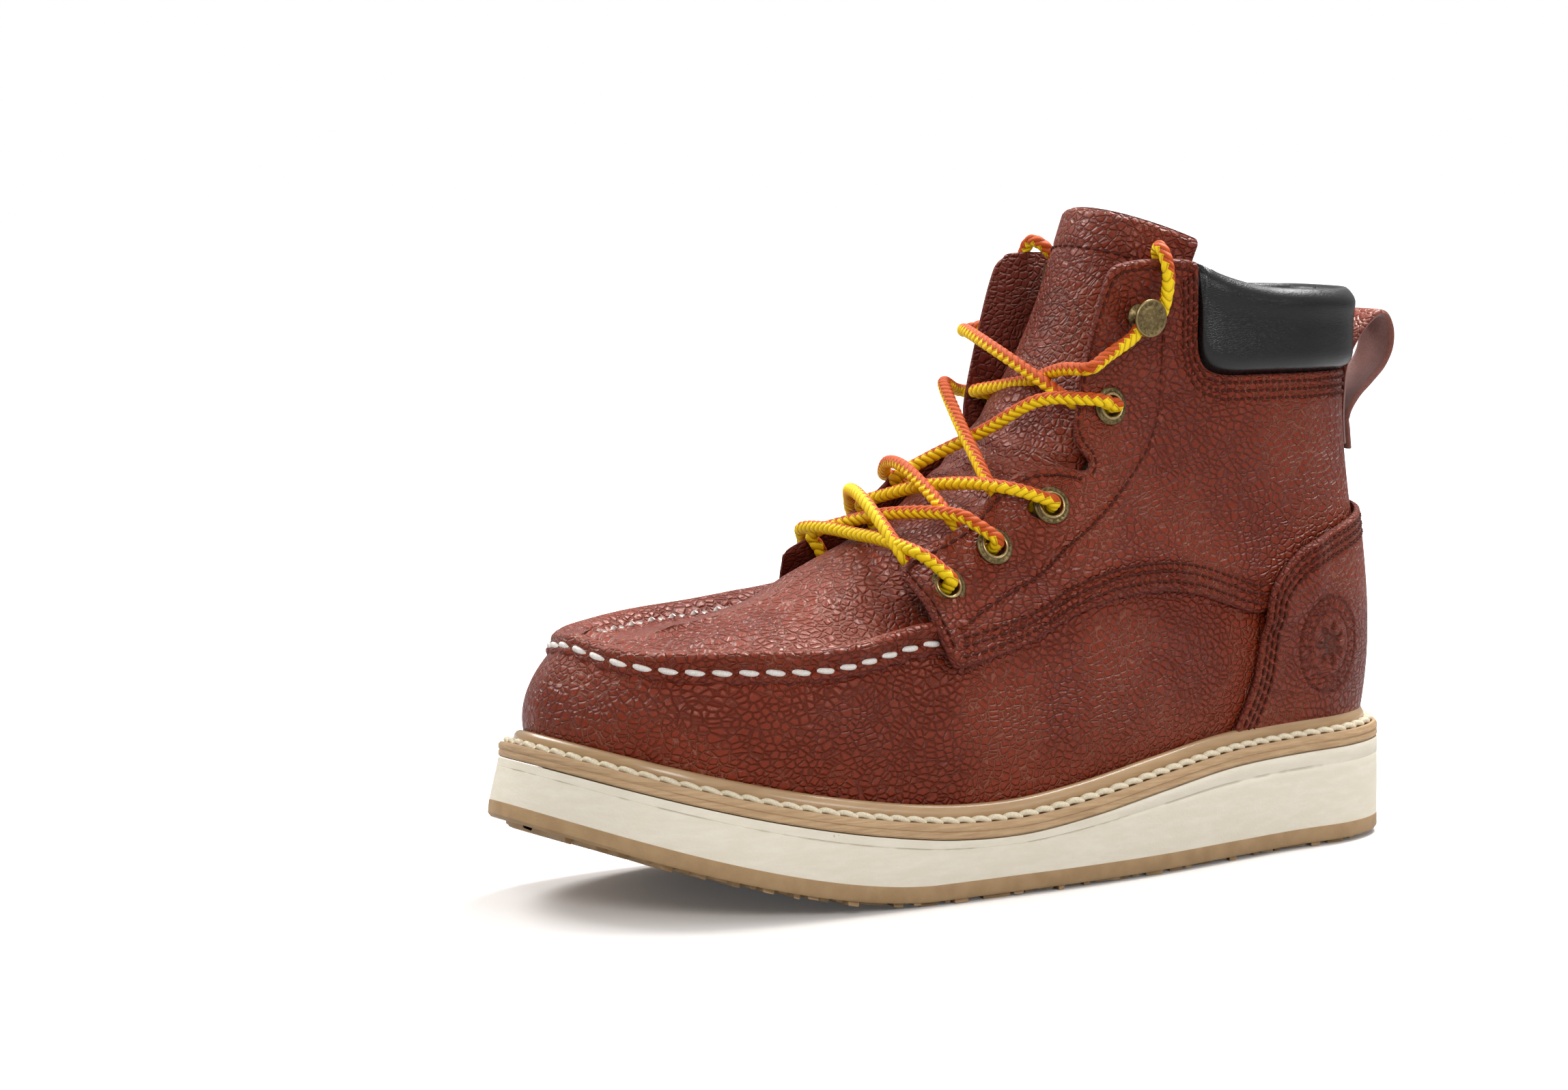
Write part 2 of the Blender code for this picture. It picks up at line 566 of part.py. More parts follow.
def strap(name, line, width, thick, substance):
    """A flat strap of constant thickness along a line in the middle plane."""
    line = np.array(line)
    along = np.gradient(line, axis=0)
    along /= np.linalg.norm(along, axis=1)[:, None]
    across = np.stack([-along[:, 1], along[:, 0]], 1) * thick / 2
    rings = []
    for (x, z), (dx, dz) in zip(line, across):
        rings.append([(x - dx, -width / 2, z - dz), (x - dx, width / 2, z - dz),
                      (x + dx, width / 2, z + dz), (x + dx, -width / 2, z + dz)])
    return loft(name, rings, substance)


def build_pull_loop():
    under = upper(np.zeros(3), np.array([122.0, 127.0, 133.0]), 1, 2.6 + 1.6 + 1.8)
    over = upper(np.zeros(3), np.array([131.0, 126.0, 120.0]), 1, 2.6 + 1.6 + 1.8 + 2.0)
    line = spline([(p[0], p[2]) for p in under]
                  + [(9.9, 139), (9.8, 145), (7.8, 152), (3.2, 158.8), (-2.4, 163.4), (-6.6, 163), (-9, 158.6),
                     (-8.8, 152.6), (-6, 147), (-1, 142), (4.2, 137.2)] + [(p[0], p[2]) for p in over], 40)
    strap("pull_loop", line, 18.0, 1.6, "leather")


def build_toe_cap():
    """Steel cap over the toes, and the lining under it: wall, shoulder and roof."""
    for name, depth, thick, drop, rear in (("steel_toe_cap", -0.4, 1.6, 2.4, 0.80),
                                           ("toe_lining", -2.9, LINING, 5.2, 0.80)):
        around = np.linspace(rear, 2 - rear, 17)
        outer, inner = [], []
        for u in around:
            size, side = (u, 1) if u <= 1 else (2 - u, -1)
            foot = foot_z(size * side) + 3.2
            line = [upper(size, z, side, depth) for z in (foot, foot + 8, 62, 69)]
            inside = [upper(size, z, side, depth - thick) for z in (foot, foot + 8, 61, 67.5)]
            for wall, level in ((line, 0), (inside, thick)):
                x, y = wall[-1][:2]
                centre_x = 232 + (258 - 232) * (size - rear) / (1 - rear)
                run = np.array((centre_x, keyed(MIDDLE_LINE, centre_x))) - (x, y)
                for part in (0.12, 0.3, 0.6, 1.0):
                    spot = (x, y) + run * part
                    wall.append(np.array((*spot, float(apron_height(*spot)) - drop - level)))
            outer.append(line)
            inner.append(inside)
        shell(name, np.array(outer), np.array(inner), "steel" if name.startswith("steel") else "lining",
              welded=True)


def tongue_point(s, angle, depth):
    """Point of the tongue at s along it and at an angle across it, depth in from its outer face."""
    x, z = float(keyed(TONGUE_LINE, s, 1)), float(keyed(TONGUE_LINE, s, 2))
    ahead = (float(keyed(TONGUE_LINE, s + 0.01, 1)), float(keyed(TONGUE_LINE, s + 0.01, 2)))
    behind = (float(keyed(TONGUE_LINE, s - 0.01, 1)), float(keyed(TONGUE_LINE, s - 0.01, 2)))
    along = np.array((ahead[0] - behind[0], ahead[1] - behind[1]))
    along /= np.linalg.norm(along)
    out = np.array((along[1], -along[0]))
    half, drop = float(keyed(TONGUE_HALF, s)), float(keyed(TONGUE_DROP, s))
    fall = (drop - depth) * (1 - math.cos(angle)) + depth
    y = (half - depth) * math.sin(angle) + float(keyed(MIDDLE_LINE, x))
    return np.array((x - out[0] * fall, y, z - out[1] * fall))


def build_tongue():
    stations = np.linspace(0.02, 0.99, 18)
    angles = np.radians(np.linspace(-88, 88, 9))
    outer = np.array([[tongue_point(s, a, 0) for a in angles] for s in stations])
    inner = np.array([[tongue_point(s, a, TONGUE_THICK) for a in angles] for s in stations])
    shell("tongue", outer, inner, "leather")


def lathe(name, frame, profile, substance, count=16):
    """A solid turned about a fastening's axis through (radius, height) pairs, bottom to top."""
    centre, normal, tangent = frame
    other = np.cross(normal, tangent)
    rings = []
    for radius, height in profile:
        rings.append([centre + (tangent * math.cos(a) + other * math.sin(a)) * radius + normal * height
                      for a in np.arange(count) * 2 * math.pi / count])
    return loft(name, rings, substance)


def build_hooks():
    for side, name in ((1, "outer"), (-1, "inner")):
        frame = fastening_frame(*FASTENINGS[-1], side)
        lathe("hook_" + name, frame, [(3.6, 0.7), (3.6, 1.4), (1.6, 1.8), (1.6, 6.3), (5.6, 6.5), (5.4, 7.4)],
              "brass")


def lacing_frames(side):
    """For each fastening: centre, outward normal, step to the facing's edge, and the normal there."""
    frames = []
    for (u, z), lean in zip(FASTENINGS, (0, 2, 8, 0, 0)):
        centre, normal, _ = fastening_frame(u, z, side)
        edge_u = np.linspace(0.44, 0.70, 120)
        edge_z = keyed(TOP_EDGE, edge_u, 3)
        edge = upper(edge_u, edge_z, side, 0.4 + LEATHER)
        nearest = int(np.argmin(np.linalg.norm(edge - centre, axis=1))) + lean
        edge_normal = edge[nearest] - upper(edge_u[nearest], edge_z[nearest], side, LEATHER - 0.6)
        step = edge[nearest] - centre
        if z > SHAFT_START:
            edge_normal = normal
            step *= 0.85 if side > 0 else 0.65
        frames.append((centre, normal, step, edge_normal))
    return frames


def front_way(frames, number):
    """Direction out of the boot's front, square to the row of fastenings, at one of them."""
    low, high = frames[max(number - 1, 0)][0], frames[min(number + 1, 4)][0]
    way = np.array((high[2] - low[2], 0.0, low[0] - high[0]))
    return way / np.linalg.norm(way)


def over_edge(frame):
    """The lace from an eyelet's mouth over the facing's edge: points on the outer side."""
    centre, normal, step, edge_normal = frame
    ahead = step / np.linalg.norm(step)
    lift = 1.95 if centre[2] > SHAFT_START else 1.03
    return [centre + normal * 1.2, centre + normal * (3.7 + 0.7 * lift) + ahead * 1.0,
            centre + ahead * 5.0 + normal * (3.4 + lift), centre + step * 0.75 + edge_normal * 3.9 * lift,
            centre + step + ahead * (0.4 + 1.8 * lift) + edge_normal * (4.4 * lift - 2.1)]


def under_edge(frame):
    """The lace from in front of a facing's edge to the eyelet's inner end: points on the inner side."""
    centre, normal, step, edge_normal = frame
    ahead = step / np.linalg.norm(step)
    return [centre + step + ahead * 3.0 - edge_normal * 3.1, centre + step * 0.8 - edge_normal * 5.0,
            centre + step * 0.35 - normal * 5.8, centre - normal * 3.6]


def crossing(start, end, way, bow, clear=0.0):
    """Points of the free stretch between two facings, bowed out along way and clear of the first edge."""
    return [start + (end - start) * part + way * (bow * share + clear * near)
            for part, share, near in ((0.2, 0.7, 1.0), (0.5, 1.0, 0.0), (0.8, 0.6, 0.0))]


def hook_line(frame, side):
    """Points of the lace from inside the shaft, over its edge, round the hook's post to the front."""
    centre, normal, step, edge_normal = frame
    ahead = step / np.linalg.norm(step)
    up = np.cross(ahead, normal)
    up *= np.sign(up[2])
    level = normal * 4.05
    top = upper(0.398, 184.5, side)
    line = [top + (-12, -5.4 * side, -13), top + (-4, -4.6 * side, -1), top + (-0.5, 0, 3.0),
            top + (0, 3.8 * side, 0), top + (0, 5.4 * side, -7)]
    line += [centre - ahead * 4.0 + up * 5.5 + normal * 4.3, centre - ahead * 4.1 + up * 0.2 + level,
             centre - ahead * 3.0 - up * 2.8 + level, centre - up * 4.1 + level]
    # Forward over the facing's edge: level on the inner side, sloping down on the outer side.
    fall, reach = (0.52, 1.0) if side > 0 else (0.15, 0.74)
    line += [centre + normal * out + np.array((run * reach, 0, -3.6 - run * fall))
             for run, out in ((5.0, 3.9), (14.5, 4.3), (21.0, 4.5))]
    return line


def tail_line(side):
    """Points of a loose end from its tip on the footbed up inside the shaft."""
    y = 12 * side
    on_bed = [(x, y, float(welt_top(x)) + FOOTBED_TOP + LACE_DIAMETER / 2 + GAP) for x in (172, 156, 140, 124, 108)]
    return on_bed + [(92, 13 * side, 50), (85, 15 * side, 70), (83, 18 * side, 96), (84, 21 * side, 124),
                     (86, 24.8 * side, 150)]


def build_lace():
    """Criss-cross lacing in two halves that meet at the bar over the lowest pair of eyelets."""
    frames = {side: lacing_frames(side) for side in (1, -1)}
    low = {side: frames[side][0] for side in (1, -1)}
    middle = sum(over_edge(low[side])[-1] for side in (1, -1)) / 2 + front_way(frames[1], 0) * 2.0
    for side, name in ((1, "outer"), (-1, "inner")):
        line = [np.array(p, float) for p in tail_line(side)] + hook_line(frames[side][4], side)
        here = side
        for number in (3, 2, 1, 0):
            into = under_edge(frames[-here][number])
            way = front_way(frames[-here], number)
            clear = {(3, 1): 2.2, (2, 1): 3.4, (2, -1): 3.4}.get((number, here), 0.0)
            under, over = (0.0, 12.0) if number == 3 else (3.6, 10.2)
            line += crossing(line[-1], into[0], way, under if here == 1 else over, clear) + into
            line += over_edge(frames[-here][number])
            here = -here
        line.append(line[-1] + (middle - line[-1]) * 0.5 + front_way(frames[1], 0) * 1.0)
        line.append(middle + (0, 0.2 * here, 0))
        tube("lace_" + name, line, LACE_DIAMETER, "yellow")


def build_all():
    build_sole()
    build_quarters()
    build_vamp()
    build_apron()
    build_heel()
    build_collar()
    build_pull_loop()
    build_toe_cap()
    build_tongue()
    build_hooks()
    build_lace()


for old in list(bpy.data.objects):
    bpy.data.objects.remove(old, do_unlink=True)
build_all()
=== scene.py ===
"""The finished look of the moc-toe work boot: leather, seams, laces and sole round the CAD frame.

Frame: +X towards the toe, +Y towards the wearer's left (the outer side), +Z up.
The shape functions work in millimetres from the back of the heel; meshes are made in metres.
"""
import json
import math

import bpy
import numpy as np
from mathutils import Matrix, Vector
from mathutils.geometry import delaunay_2d_cdt

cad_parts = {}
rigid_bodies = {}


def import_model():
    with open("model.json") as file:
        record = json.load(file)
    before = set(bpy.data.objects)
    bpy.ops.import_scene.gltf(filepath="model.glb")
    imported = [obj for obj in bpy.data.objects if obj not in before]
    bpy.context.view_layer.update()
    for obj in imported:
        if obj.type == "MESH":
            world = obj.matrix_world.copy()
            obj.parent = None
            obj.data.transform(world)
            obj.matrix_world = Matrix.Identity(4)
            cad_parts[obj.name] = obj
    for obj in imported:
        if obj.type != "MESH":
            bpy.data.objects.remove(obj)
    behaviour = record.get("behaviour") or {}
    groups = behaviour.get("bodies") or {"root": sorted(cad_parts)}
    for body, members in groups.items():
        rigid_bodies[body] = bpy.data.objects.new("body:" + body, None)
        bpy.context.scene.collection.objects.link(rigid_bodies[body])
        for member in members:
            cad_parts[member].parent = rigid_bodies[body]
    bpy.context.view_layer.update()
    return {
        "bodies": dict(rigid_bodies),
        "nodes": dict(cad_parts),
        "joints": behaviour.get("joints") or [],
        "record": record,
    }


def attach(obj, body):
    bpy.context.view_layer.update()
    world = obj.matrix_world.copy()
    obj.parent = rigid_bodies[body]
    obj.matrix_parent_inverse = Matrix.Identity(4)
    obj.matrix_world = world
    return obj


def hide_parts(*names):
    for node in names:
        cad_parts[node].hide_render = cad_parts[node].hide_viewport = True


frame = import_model()

# ---------------------------------------------------------------- driving dimensions (mm)
SOLE_LENGTH = 307.0
TOE_SPRING = 24.0          # height of the tread under the toe tip
SPRING_START = 203.0       # the tread is flat behind this, measured from the heel
OUTSOLE_THICK = 6.2
WELT_THICK = 4.6
FEATHER_INSET = 11.4       # from the sole's edge in to the foot of the upper
GAP = 0.3                  # clearance between touching pieces
LEATHER = 1.8
QUARTER_LIFT = 0.4         # the quarter's inner face stands this far off the plain upper
LINING = 1.0
FOOTBED_TOP = 7.5          # above the welt
EYELET_BORE = 3.1          # radius
LACE_DIAMETER = 4.0
SHAFT_START = 125.0        # the facing stands upright above this height
BOX_CENTRE = (148.2, 4.3)  # middle of the finished box, which becomes the origin
MM = 0.001

# Sole outline, heel centre -> outer side -> toe, and the same on the inner side (x, y).
SOLE_OUTER = [(0, 0), (3.5, 15), (12.5, 28), (30, 36.5), (55, 39.5), (85, 45.5), (115, 51.5), (145, 55),
              (175, 56.5), (205, 57.5), (235, 56.5), (262, 51), (283, 40.5), (298, 24), (SOLE_LENGTH, -4)]
SOLE_INNER = [(0, 0), (3.5, -15), (12.5, -28), (30, -36), (55, -38.5), (85, -38.5), (115, -38), (145, -39.5),
              (175, -43), (205, -47), (235, -49), (262, -47), (284, -41), (300, -27), (SOLE_LENGTH, -4)]

# Height of the midsole's top edge above the ground, by x.
MIDSOLE_TOP = [(0, 31), (50, 30), (85, 28.8), (115, 25.2), (145, 20.6), (170, 18), (195, 18.6), (220, 21.8),
               (245, 26.4), (268, 31.8), (290, 38), (307, 43.5)]

# Top edge of the upper by u (0 at the back of the heel, 1 at the toe tip): x, half width, z.
TOP_EDGE = [(0.0, 12.5, 0, 173), (0.05, 15, 13, 173), (0.10, 24, 24, 173), (0.16, 40, 30, 173.5),
            (0.24, 62, 32, 175), (0.30, 78, 32.5, 178.5), (0.34, 89, 32.5, 182.5), (0.40, 105, 32, 184),
            (0.45, 119, 31, 182), (0.48, 127, 30, 170), (0.51, 131, 29, 152), (0.54, 135, 28.5, 136),
            (0.565, 141, 28, 126), (0.60, 158, 27.5, 116), (0.635, 177, 27, 105.5), (0.665, 191, 28, 99),
            (0.69, 200, 30.5, 93), (0.71, 209, 34, 84.5), (0.735, 221, 37, 78.5), (0.765, 236, 37.5, 77),
            (0.81, 254, 34, 76.5), (0.86, 269.5, 27, 76.5), (0.93, 281, 15.5, 77), (1.0, 286, 0, 77.5)]

# How far the wall swells outwards low down and high up, by u, on the outer and the inner side.
SWELL_LOW = {1: [(0, 11), (0.10, 10), (0.21, 8.5), (0.383, 9), (0.467, 12), (0.55, 12), (0.634, 9), (0.71, 5),
                 (0.8, 4), (1.0, 4)],
             -1: [(0, 11), (0.10, 10), (0.21, 8.5), (0.383, 5), (0.467, 5), (0.55, 7), (0.634, 7), (0.71, 5),
                  (0.8, 4), (1.0, 4)]}
SWELL_HIGH = {1: [(0, -13), (0.10, -11), (0.21, -8), (0.383, -14), (0.467, -12), (0.55, 0), (0.634, 10),
                  (0.71, 8), (0.8, 4.5), (1.0, 4)],
              -1: [(0, -13), (0.10, -11), (0.21, -8), (0.383, -6), (0.467, -3), (0.55, 4), (0.634, 9),
                   (0.71, 8), (0.8, 4.5), (1.0, 4)]}

# Middle line of the forefoot in plan, and the apron's crown, by x.
MIDDLE_LINE = [(0, 0), (120, 0), (180, 2), (230, 3.5), (260, 1.5), (280, -2), (291, -4)]
APRON_CROWN = [(185, 104), (200, 97.5), (215, 90.5), (230, 85), (250, 80.8), (268, 78.5), (285, 76.5)]
APRON_DROP = [(185, 27), (200, 18.5), (215, 11), (230, 6.5), (250, 3.5), (268, 2), (285, 0.5)]
APRON_HALF = [(185, 40), (216, 38), (232, 37.5), (252, 34), (268, 26), (279, 14), (285, 3)]

# Middle line of the tongue, from under the apron to its top: s, x, z of its outer face.
TONGUE_LINE = [(0.0, 204, 88), (0.12, 189, 95.5), (0.28, 168, 106), (0.42, 150, 115), (0.52, 138.5, 125),
               (0.64, 129.5, 143), (0.78, 122, 165), (0.90, 115.5, 185), (1.0, 109.5, 200.5)]
TONGUE_THICK = 4.5

# Eyelets and hooks by u and height, lowest first; the last one is the hook.
FASTENINGS = [(0.642, 89.5), (0.608, 100.0), (0.556, 111.0), (0.440, 140.0), (0.415, 167.0)]

# ---------------------------------------------------------------- curves
def arc_length(line):
    """Distance along a line at each of its points."""
    return np.r_[0, np.cumsum(np.linalg.norm(np.diff(line, axis=0), axis=1))]


def read_along(at, run, line):
    """Points of a line at given distances along it."""
    return np.stack([np.interp(at, run, line[:, k]) for k in range(line.shape[1])], axis=1)


def unit(vectors):
    return vectors / np.linalg.norm(vectors, axis=-1, keepdims=True)


def straight(table, x):
    """Value at x on straight lines through the rows of a table."""
    return np.interp(x, *zip(*table))


def keyed(table, x, column=1):
    """Smooth value at x through the rows of a table, flat beyond its ends."""
    keys = np.array([row[0] for row in table], float)
    vals = np.array([row[column] for row in table], float)
    x = np.clip(np.asarray(x, float), keys[0], keys[-1])
    slopes = np.gradient(vals, keys)
    i = np.clip(np.searchsorted(keys, x, side="right") - 1, 0, len(keys) - 2)
    width = keys[i + 1] - keys[i]
    t = (x - keys[i]) / width
    return ((2 * t**3 - 3 * t**2 + 1) * vals[i] + (t**3 - 2 * t**2 + t) * width * slopes[i]
            + (3 * t**2 - 2 * t**3) * vals[i + 1] + (t**3 - t**2) * width * slopes[i + 1])


def spline(points, count, closed=False, steps=24):
    """Points on a smooth curve through the given points.

    With a count they are evenly spaced; with None there are so many steps between two points.
    """
    pts = np.array(points, float)
    if closed:
        pts = np.vstack([pts[-1], pts, pts[0], pts[1]])
    else:
        pts = np.vstack([2 * pts[0] - pts[1], pts, 2 * pts[-1] - pts[-2]])
    out = []
    for a, b, c, d in zip(pts[:-3], pts[1:-2], pts[2:-1], pts[3:]):
        t = np.linspace(0, 1, steps, endpoint=False)[:, None]
        out.append(0.5 * (2 * b + (c - a) * t + (2 * a - 5 * b + 4 * c - d) * t**2
                          + (3 * b - a - 3 * c + d) * t**3))
    out = np.vstack(out + [pts[-2][None]])
    if count is None:
        return out
    run = arc_length(out)
    return read_along(np.linspace(0, run[-1], count), run, out)


def make_outline(side, count=721):
    """One half of the sole's edge, heel to toe: u from 0 to 1 and the points there."""
    whole = spline(SOLE_OUTER + SOLE_INNER[::-1][1:-1], 2 * count, closed=True)
    toe = int(np.argmax(whole[:, 0]))
    half = whole[:toe + 1] if side == 1 else whole[toe:][::-1]
    run = arc_length(half)
    return run / run[-1], half


U_STEP = 0.004             # reach in u of the slopes that give the normals
OUTLINE = {side: make_outline(side) for side in (1, -1)}


def edge_point(u, side, inset=0.0):
    """Point of the sole's edge at u on one side, moved in by inset, and its outward normal."""
    run, half = OUTLINE[side]
    u = np.asarray(u)

    def spot(at):
        return np.stack([np.interp(at, run, half[:, k]) for k in (0, 1)], axis=-1)

    point = spot(u)
    along = spot(np.clip(u + U_STEP, 0, 1)) - spot(np.clip(u - U_STEP, 0, 1))
    normal = unit(np.stack([-along[..., 1], along[..., 0]], -1) * side)
    at_ends = (u <= 0) | (u >= 1)
    straight = np.stack([np.where(u <= 0, -1.0, 1.0), np.zeros(u.shape)], -1)
    normal = np.where(at_ends[..., None], straight, normal)
    return point - normal * np.asarray(inset)[..., None], normal


def ground(x):
    """Height of the tread's lowest surface at x: flat, then lifting towards the toe."""
    return TOE_SPRING * np.clip((x - SPRING_START) / (SOLE_LENGTH - SPRING_START), 0, None) ** 1.6


def midsole_top(x):
    return keyed(MIDSOLE_TOP, x)


def welt_top(x):
    return midsole_top(x) + GAP + WELT_THICK


# ---------------------------------------------------------------- the upper's shape
def upper(u, z, side, offset=0.0):
    """Point of the upper at u and height z on one side, offset outwards along its normal."""
    u, z = np.broadcast_arrays(np.asarray(u, float), np.asarray(z, float))

    def surface(u, z):
        foot, normal = edge_point(u, side, FEATHER_INSET)
        foot_z = welt_top(foot[..., 0]) + GAP
        top_x, top_half, top_z = (keyed(TOP_EDGE, u, k) for k in (1, 2, 3))
        top = np.stack([top_x, keyed(MIDDLE_LINE, top_x) + side * top_half], -1)
        v = (z - foot_z) / (top_z - foot_z)
        c = np.clip(v, 0, 1)
        low, high = keyed(SWELL_LOW[side], u), keyed(SWELL_HIGH[side], u)
        swell = 3 * c * (1 - c)**2 * low + 3 * c**2 * (1 - c) * high
        plan = foot + (top - foot) * v[..., None] + normal * swell[..., None]
        return np.concatenate([plan, z[..., None]], -1)

    point = surface(u, z)
    du = surface(np.minimum(u + U_STEP, 1), z) - surface(np.maximum(u - U_STEP, 0), z)
    dz = surface(u, z + 0.5) - surface(u, z - 0.5)
    normal = unit(np.cross(du, dz) * -side)
    flip = np.sign(np.sum(normal[..., :2] * edge_point(u, side)[1], -1))
    normal *= np.where(flip == 0, 1, flip)[..., None]
    return point + normal * np.asarray(offset)[..., None]


def upper_signed(u, z, offset=0.0):
    """upper() for a signed u; at the toe u runs past 1 onto the inner side."""
    u = np.asarray(u, float)
    on_inner = (u < 0) | (u > 1)
    size = np.where(u > 1, 2 - u, np.abs(u))
    return np.where(on_inner[..., None], upper(size, z, -1, offset), upper(size, z, 1, offset))


def apron_height(x, y):
    """Height of the apron's field over the forefoot."""
    ratio = (y - keyed(MIDDLE_LINE, x)) / keyed(APRON_HALF, x)
    return keyed(APRON_CROWN, x) - keyed(APRON_DROP, x) * np.clip(ratio**2, 0, 1.6)

# Lower edge of the quarter, back to front, and top edge of the lining, as (u, z).
QUARTER_LOW = [(0.012, 96), (0.08, 95), (0.15, 89), (0.205, 77), (0.25, 75), (0.30, 79.5), (0.345, 83),
               (0.40, 84), (0.44, 82.5), (0.49, 78.5), (0.55, 73.5), (0.60, 69), (0.635, 66.5)]
INNER_BACK = 0.016         # the inner facing stands this much further back, in u
LINING_TOP = [(0.0, 170), (0.24, 172), (0.34, 178.5), (0.385, 180), (0.40, 150), (0.43, 122), (0.50, 98),
              (0.56, 88), (0.62, 80), (0.69, 70), (0.80, 69)]


def smooth_step(value):
    t = np.clip(value, 0, 1)
    return t * t * (3 - 2 * t)


def fastening_frame(u, z, side):
    """Centre on the quarter's outer face, outward normal, and a tangent, in millimetres."""
    centre = upper(u, z, side, QUARTER_LIFT + LEATHER)
    normal = unit(centre - upper(u, z, side, QUARTER_LIFT))
    return centre, normal, unit(np.cross(normal, (0, 0, 1)))


def lacing_frames(side):
    """For each fastening: centre, outward normal, step to the facing's edge, and the normal there."""
    frames = []
    edge_u = np.linspace(0.44, 0.70, 120)
    edge_z = keyed(TOP_EDGE, edge_u, 3)
    edge = upper(edge_u, edge_z, side, QUARTER_LIFT + LEATHER)
    for (u, z), lean in zip(FASTENINGS, (0, 2, 8, 0, 0)):
        centre, normal, _ = fastening_frame(u, z, side)
        nearest = int(np.argmin(np.linalg.norm(edge - centre, axis=1))) + lean
        edge_normal = edge[nearest] - upper(edge_u[nearest], edge_z[nearest], side, LEATHER - 0.6)
        step = edge[nearest] - centre
        if z > SHAFT_START:
            edge_normal = normal
            step *= 0.85 if side > 0 else 0.65
        frames.append((centre, normal, step, edge_normal))
    return frames


def front_way(frames, number):
    """Direction out of the boot's front, square to the row of fastenings, at one of them."""
    low, high = frames[max(number - 1, 0)][0], frames[min(number + 1, 4)][0]
    return unit(np.array((high[2] - low[2], 0.0, low[0] - high[0])))


def over_edge(frame):
    """The lace from an eyelet's mouth over the facing's edge: points on the outer side."""
    centre, normal, step, edge_normal = frame
    ahead = unit(step)
    lift = 1.95 if centre[2] > SHAFT_START else 1.03
    return [centre + normal * 1.2, centre + normal * (3.7 + 0.7 * lift) + ahead * 1.0,
            centre + ahead * 5.0 + normal * (3.4 + lift), centre + step * 0.75 + edge_normal * 3.9 * lift,
            centre + step + ahead * (0.4 + 1.8 * lift) + edge_normal * (4.4 * lift - 2.1)]


def under_edge(frame):
    """The lace from in front of a facing's edge to the eyelet's inner end: points on the inner side."""
    centre, normal, step, edge_normal = frame
    ahead = unit(step)
    return [centre + step + ahead * 3.0 - edge_normal * 3.1, centre + step * 0.8 - edge_normal * 5.0,
            centre + step * 0.35 - normal * 5.8, centre - normal * 3.6]


def crossing(start, end, way, bow, clear=0.0):
    """Points of the free stretch between two facings, bowed out along way and clear of the first edge."""
    return [start + (end - start) * part + way * (bow * share + clear * near)
            for part, share, near in ((0.2, 0.7, 1.0), (0.5, 1.0, 0.0), (0.8, 0.6, 0.0))]


def hook_line(frame, side):
    """Points of the lace from inside the shaft, over its edge, round the hook's post to the front."""
    centre, normal, step, edge_normal = frame
    ahead = unit(step)
    up = np.cross(ahead, normal)
    up *= np.sign(up[2])
    level = normal * 4.05
    top = upper(0.398, 184.5, side)
    line = [top + (-12, -5.4 * side, -13), top + (-4, -4.6 * side, -1), top + (-0.5, 0, 3.0),
            top + (0, 3.8 * side, 0), top + (0, 5.4 * side, -7)]
    line += [centre - ahead * 4.0 + up * 5.5 + normal * 4.3, centre - ahead * 4.1 + up * 0.2 + level,
             centre - ahead * 3.0 - up * 2.8 + level, centre - up * 4.1 + level]
    # Forward over the facing's edge: level on the inner side, sloping down on the outer side.
    fall, reach = (0.52, 1.0) if side > 0 else (0.15, 0.74)
    line += [centre + normal * out + np.array((run * reach, 0, -3.6 - run * fall))
             for run, out in ((5.0, 3.9), (14.5, 4.3), (21.0, 4.5))]
    return line


def tail_line(side):
    """Points of a loose end from its tip on the footbed up inside the shaft."""
    y = 12 * side
    above = FOOTBED_TOP + LACE_DIAMETER / 2 + GAP
    on_bed = [(x, y, float(welt_top(x)) + above) for x in (172, 156, 140, 124, 108)]
    return on_bed + [(92, 13 * side, 50), (85, 15 * side, 70), (83, 18 * side, 96), (84, 21 * side, 124),
                     (86, 24.8 * side, 150)]


# ---------------------------------------------------------------- meshes
SPAN = 385.0               # millimetres along the sole's edge from heel to toe, for flat patterns


def placed(points):
    """Millimetres from the heel to metres in the boot's frame."""
    return (np.asarray(points, float) - (BOX_CENTRE[0], BOX_CENTRE[1], 0)) * MM


def linked(name, data):
    """A new object in the scene."""
    thing = bpy.data.objects.new(name, data)
    bpy.context.scene.collection.objects.link(thing)
    return thing


def make(name, verts, faces, substance, body="boot", sharp=None, rim=None, slots=None, replaced=(), tint=None):
    """One piece of the boot from vertices in millimetres; a list of substances goes by the faces' slots."""
    substances = [substance] if isinstance(substance, str) else substance
    mesh = bpy.data.meshes.new(name)
    mesh.from_pydata([tuple(v) for v in placed(verts)], [], [list(map(int, f)) for f in faces])
    mesh.validate()
    for one in substances:
        mesh.materials.append(MATERIALS[one])
    if slots is not None:
        mesh.polygons.foreach_set("material_index", np.asarray(slots, np.int32))
    for label, values in (("rim", rim), ("tint", tint)):
        if values is not None:
            made = mesh.attributes.new(label, "FLOAT", "POINT")
            made.data.foreach_set("value", np.asarray(values, np.float32))
    mesh.shade_smooth()
    if sharp:
        mesh.set_sharp_from_angle(angle=math.radians(sharp))
    piece = linked(name, mesh)
    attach(piece, body)
    if replaced:
        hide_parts(*replaced)
    return piece


def grid_faces(rows, columns, start=0, loop_rows=False, loop_columns=False):
    """Four-sided faces over a grid of vertices that may close on itself either way."""
    i, j = np.meshgrid(np.arange(rows if loop_rows else rows - 1),
                       np.arange(columns if loop_columns else columns - 1), indexing="ij")
    i, j = i.ravel(), j.ravel()
    k, m = (i + 1) % rows, (j + 1) % columns
    return (np.stack([i * columns + j, k * columns + j, k * columns + m, i * columns + m], 1) + start).tolist()


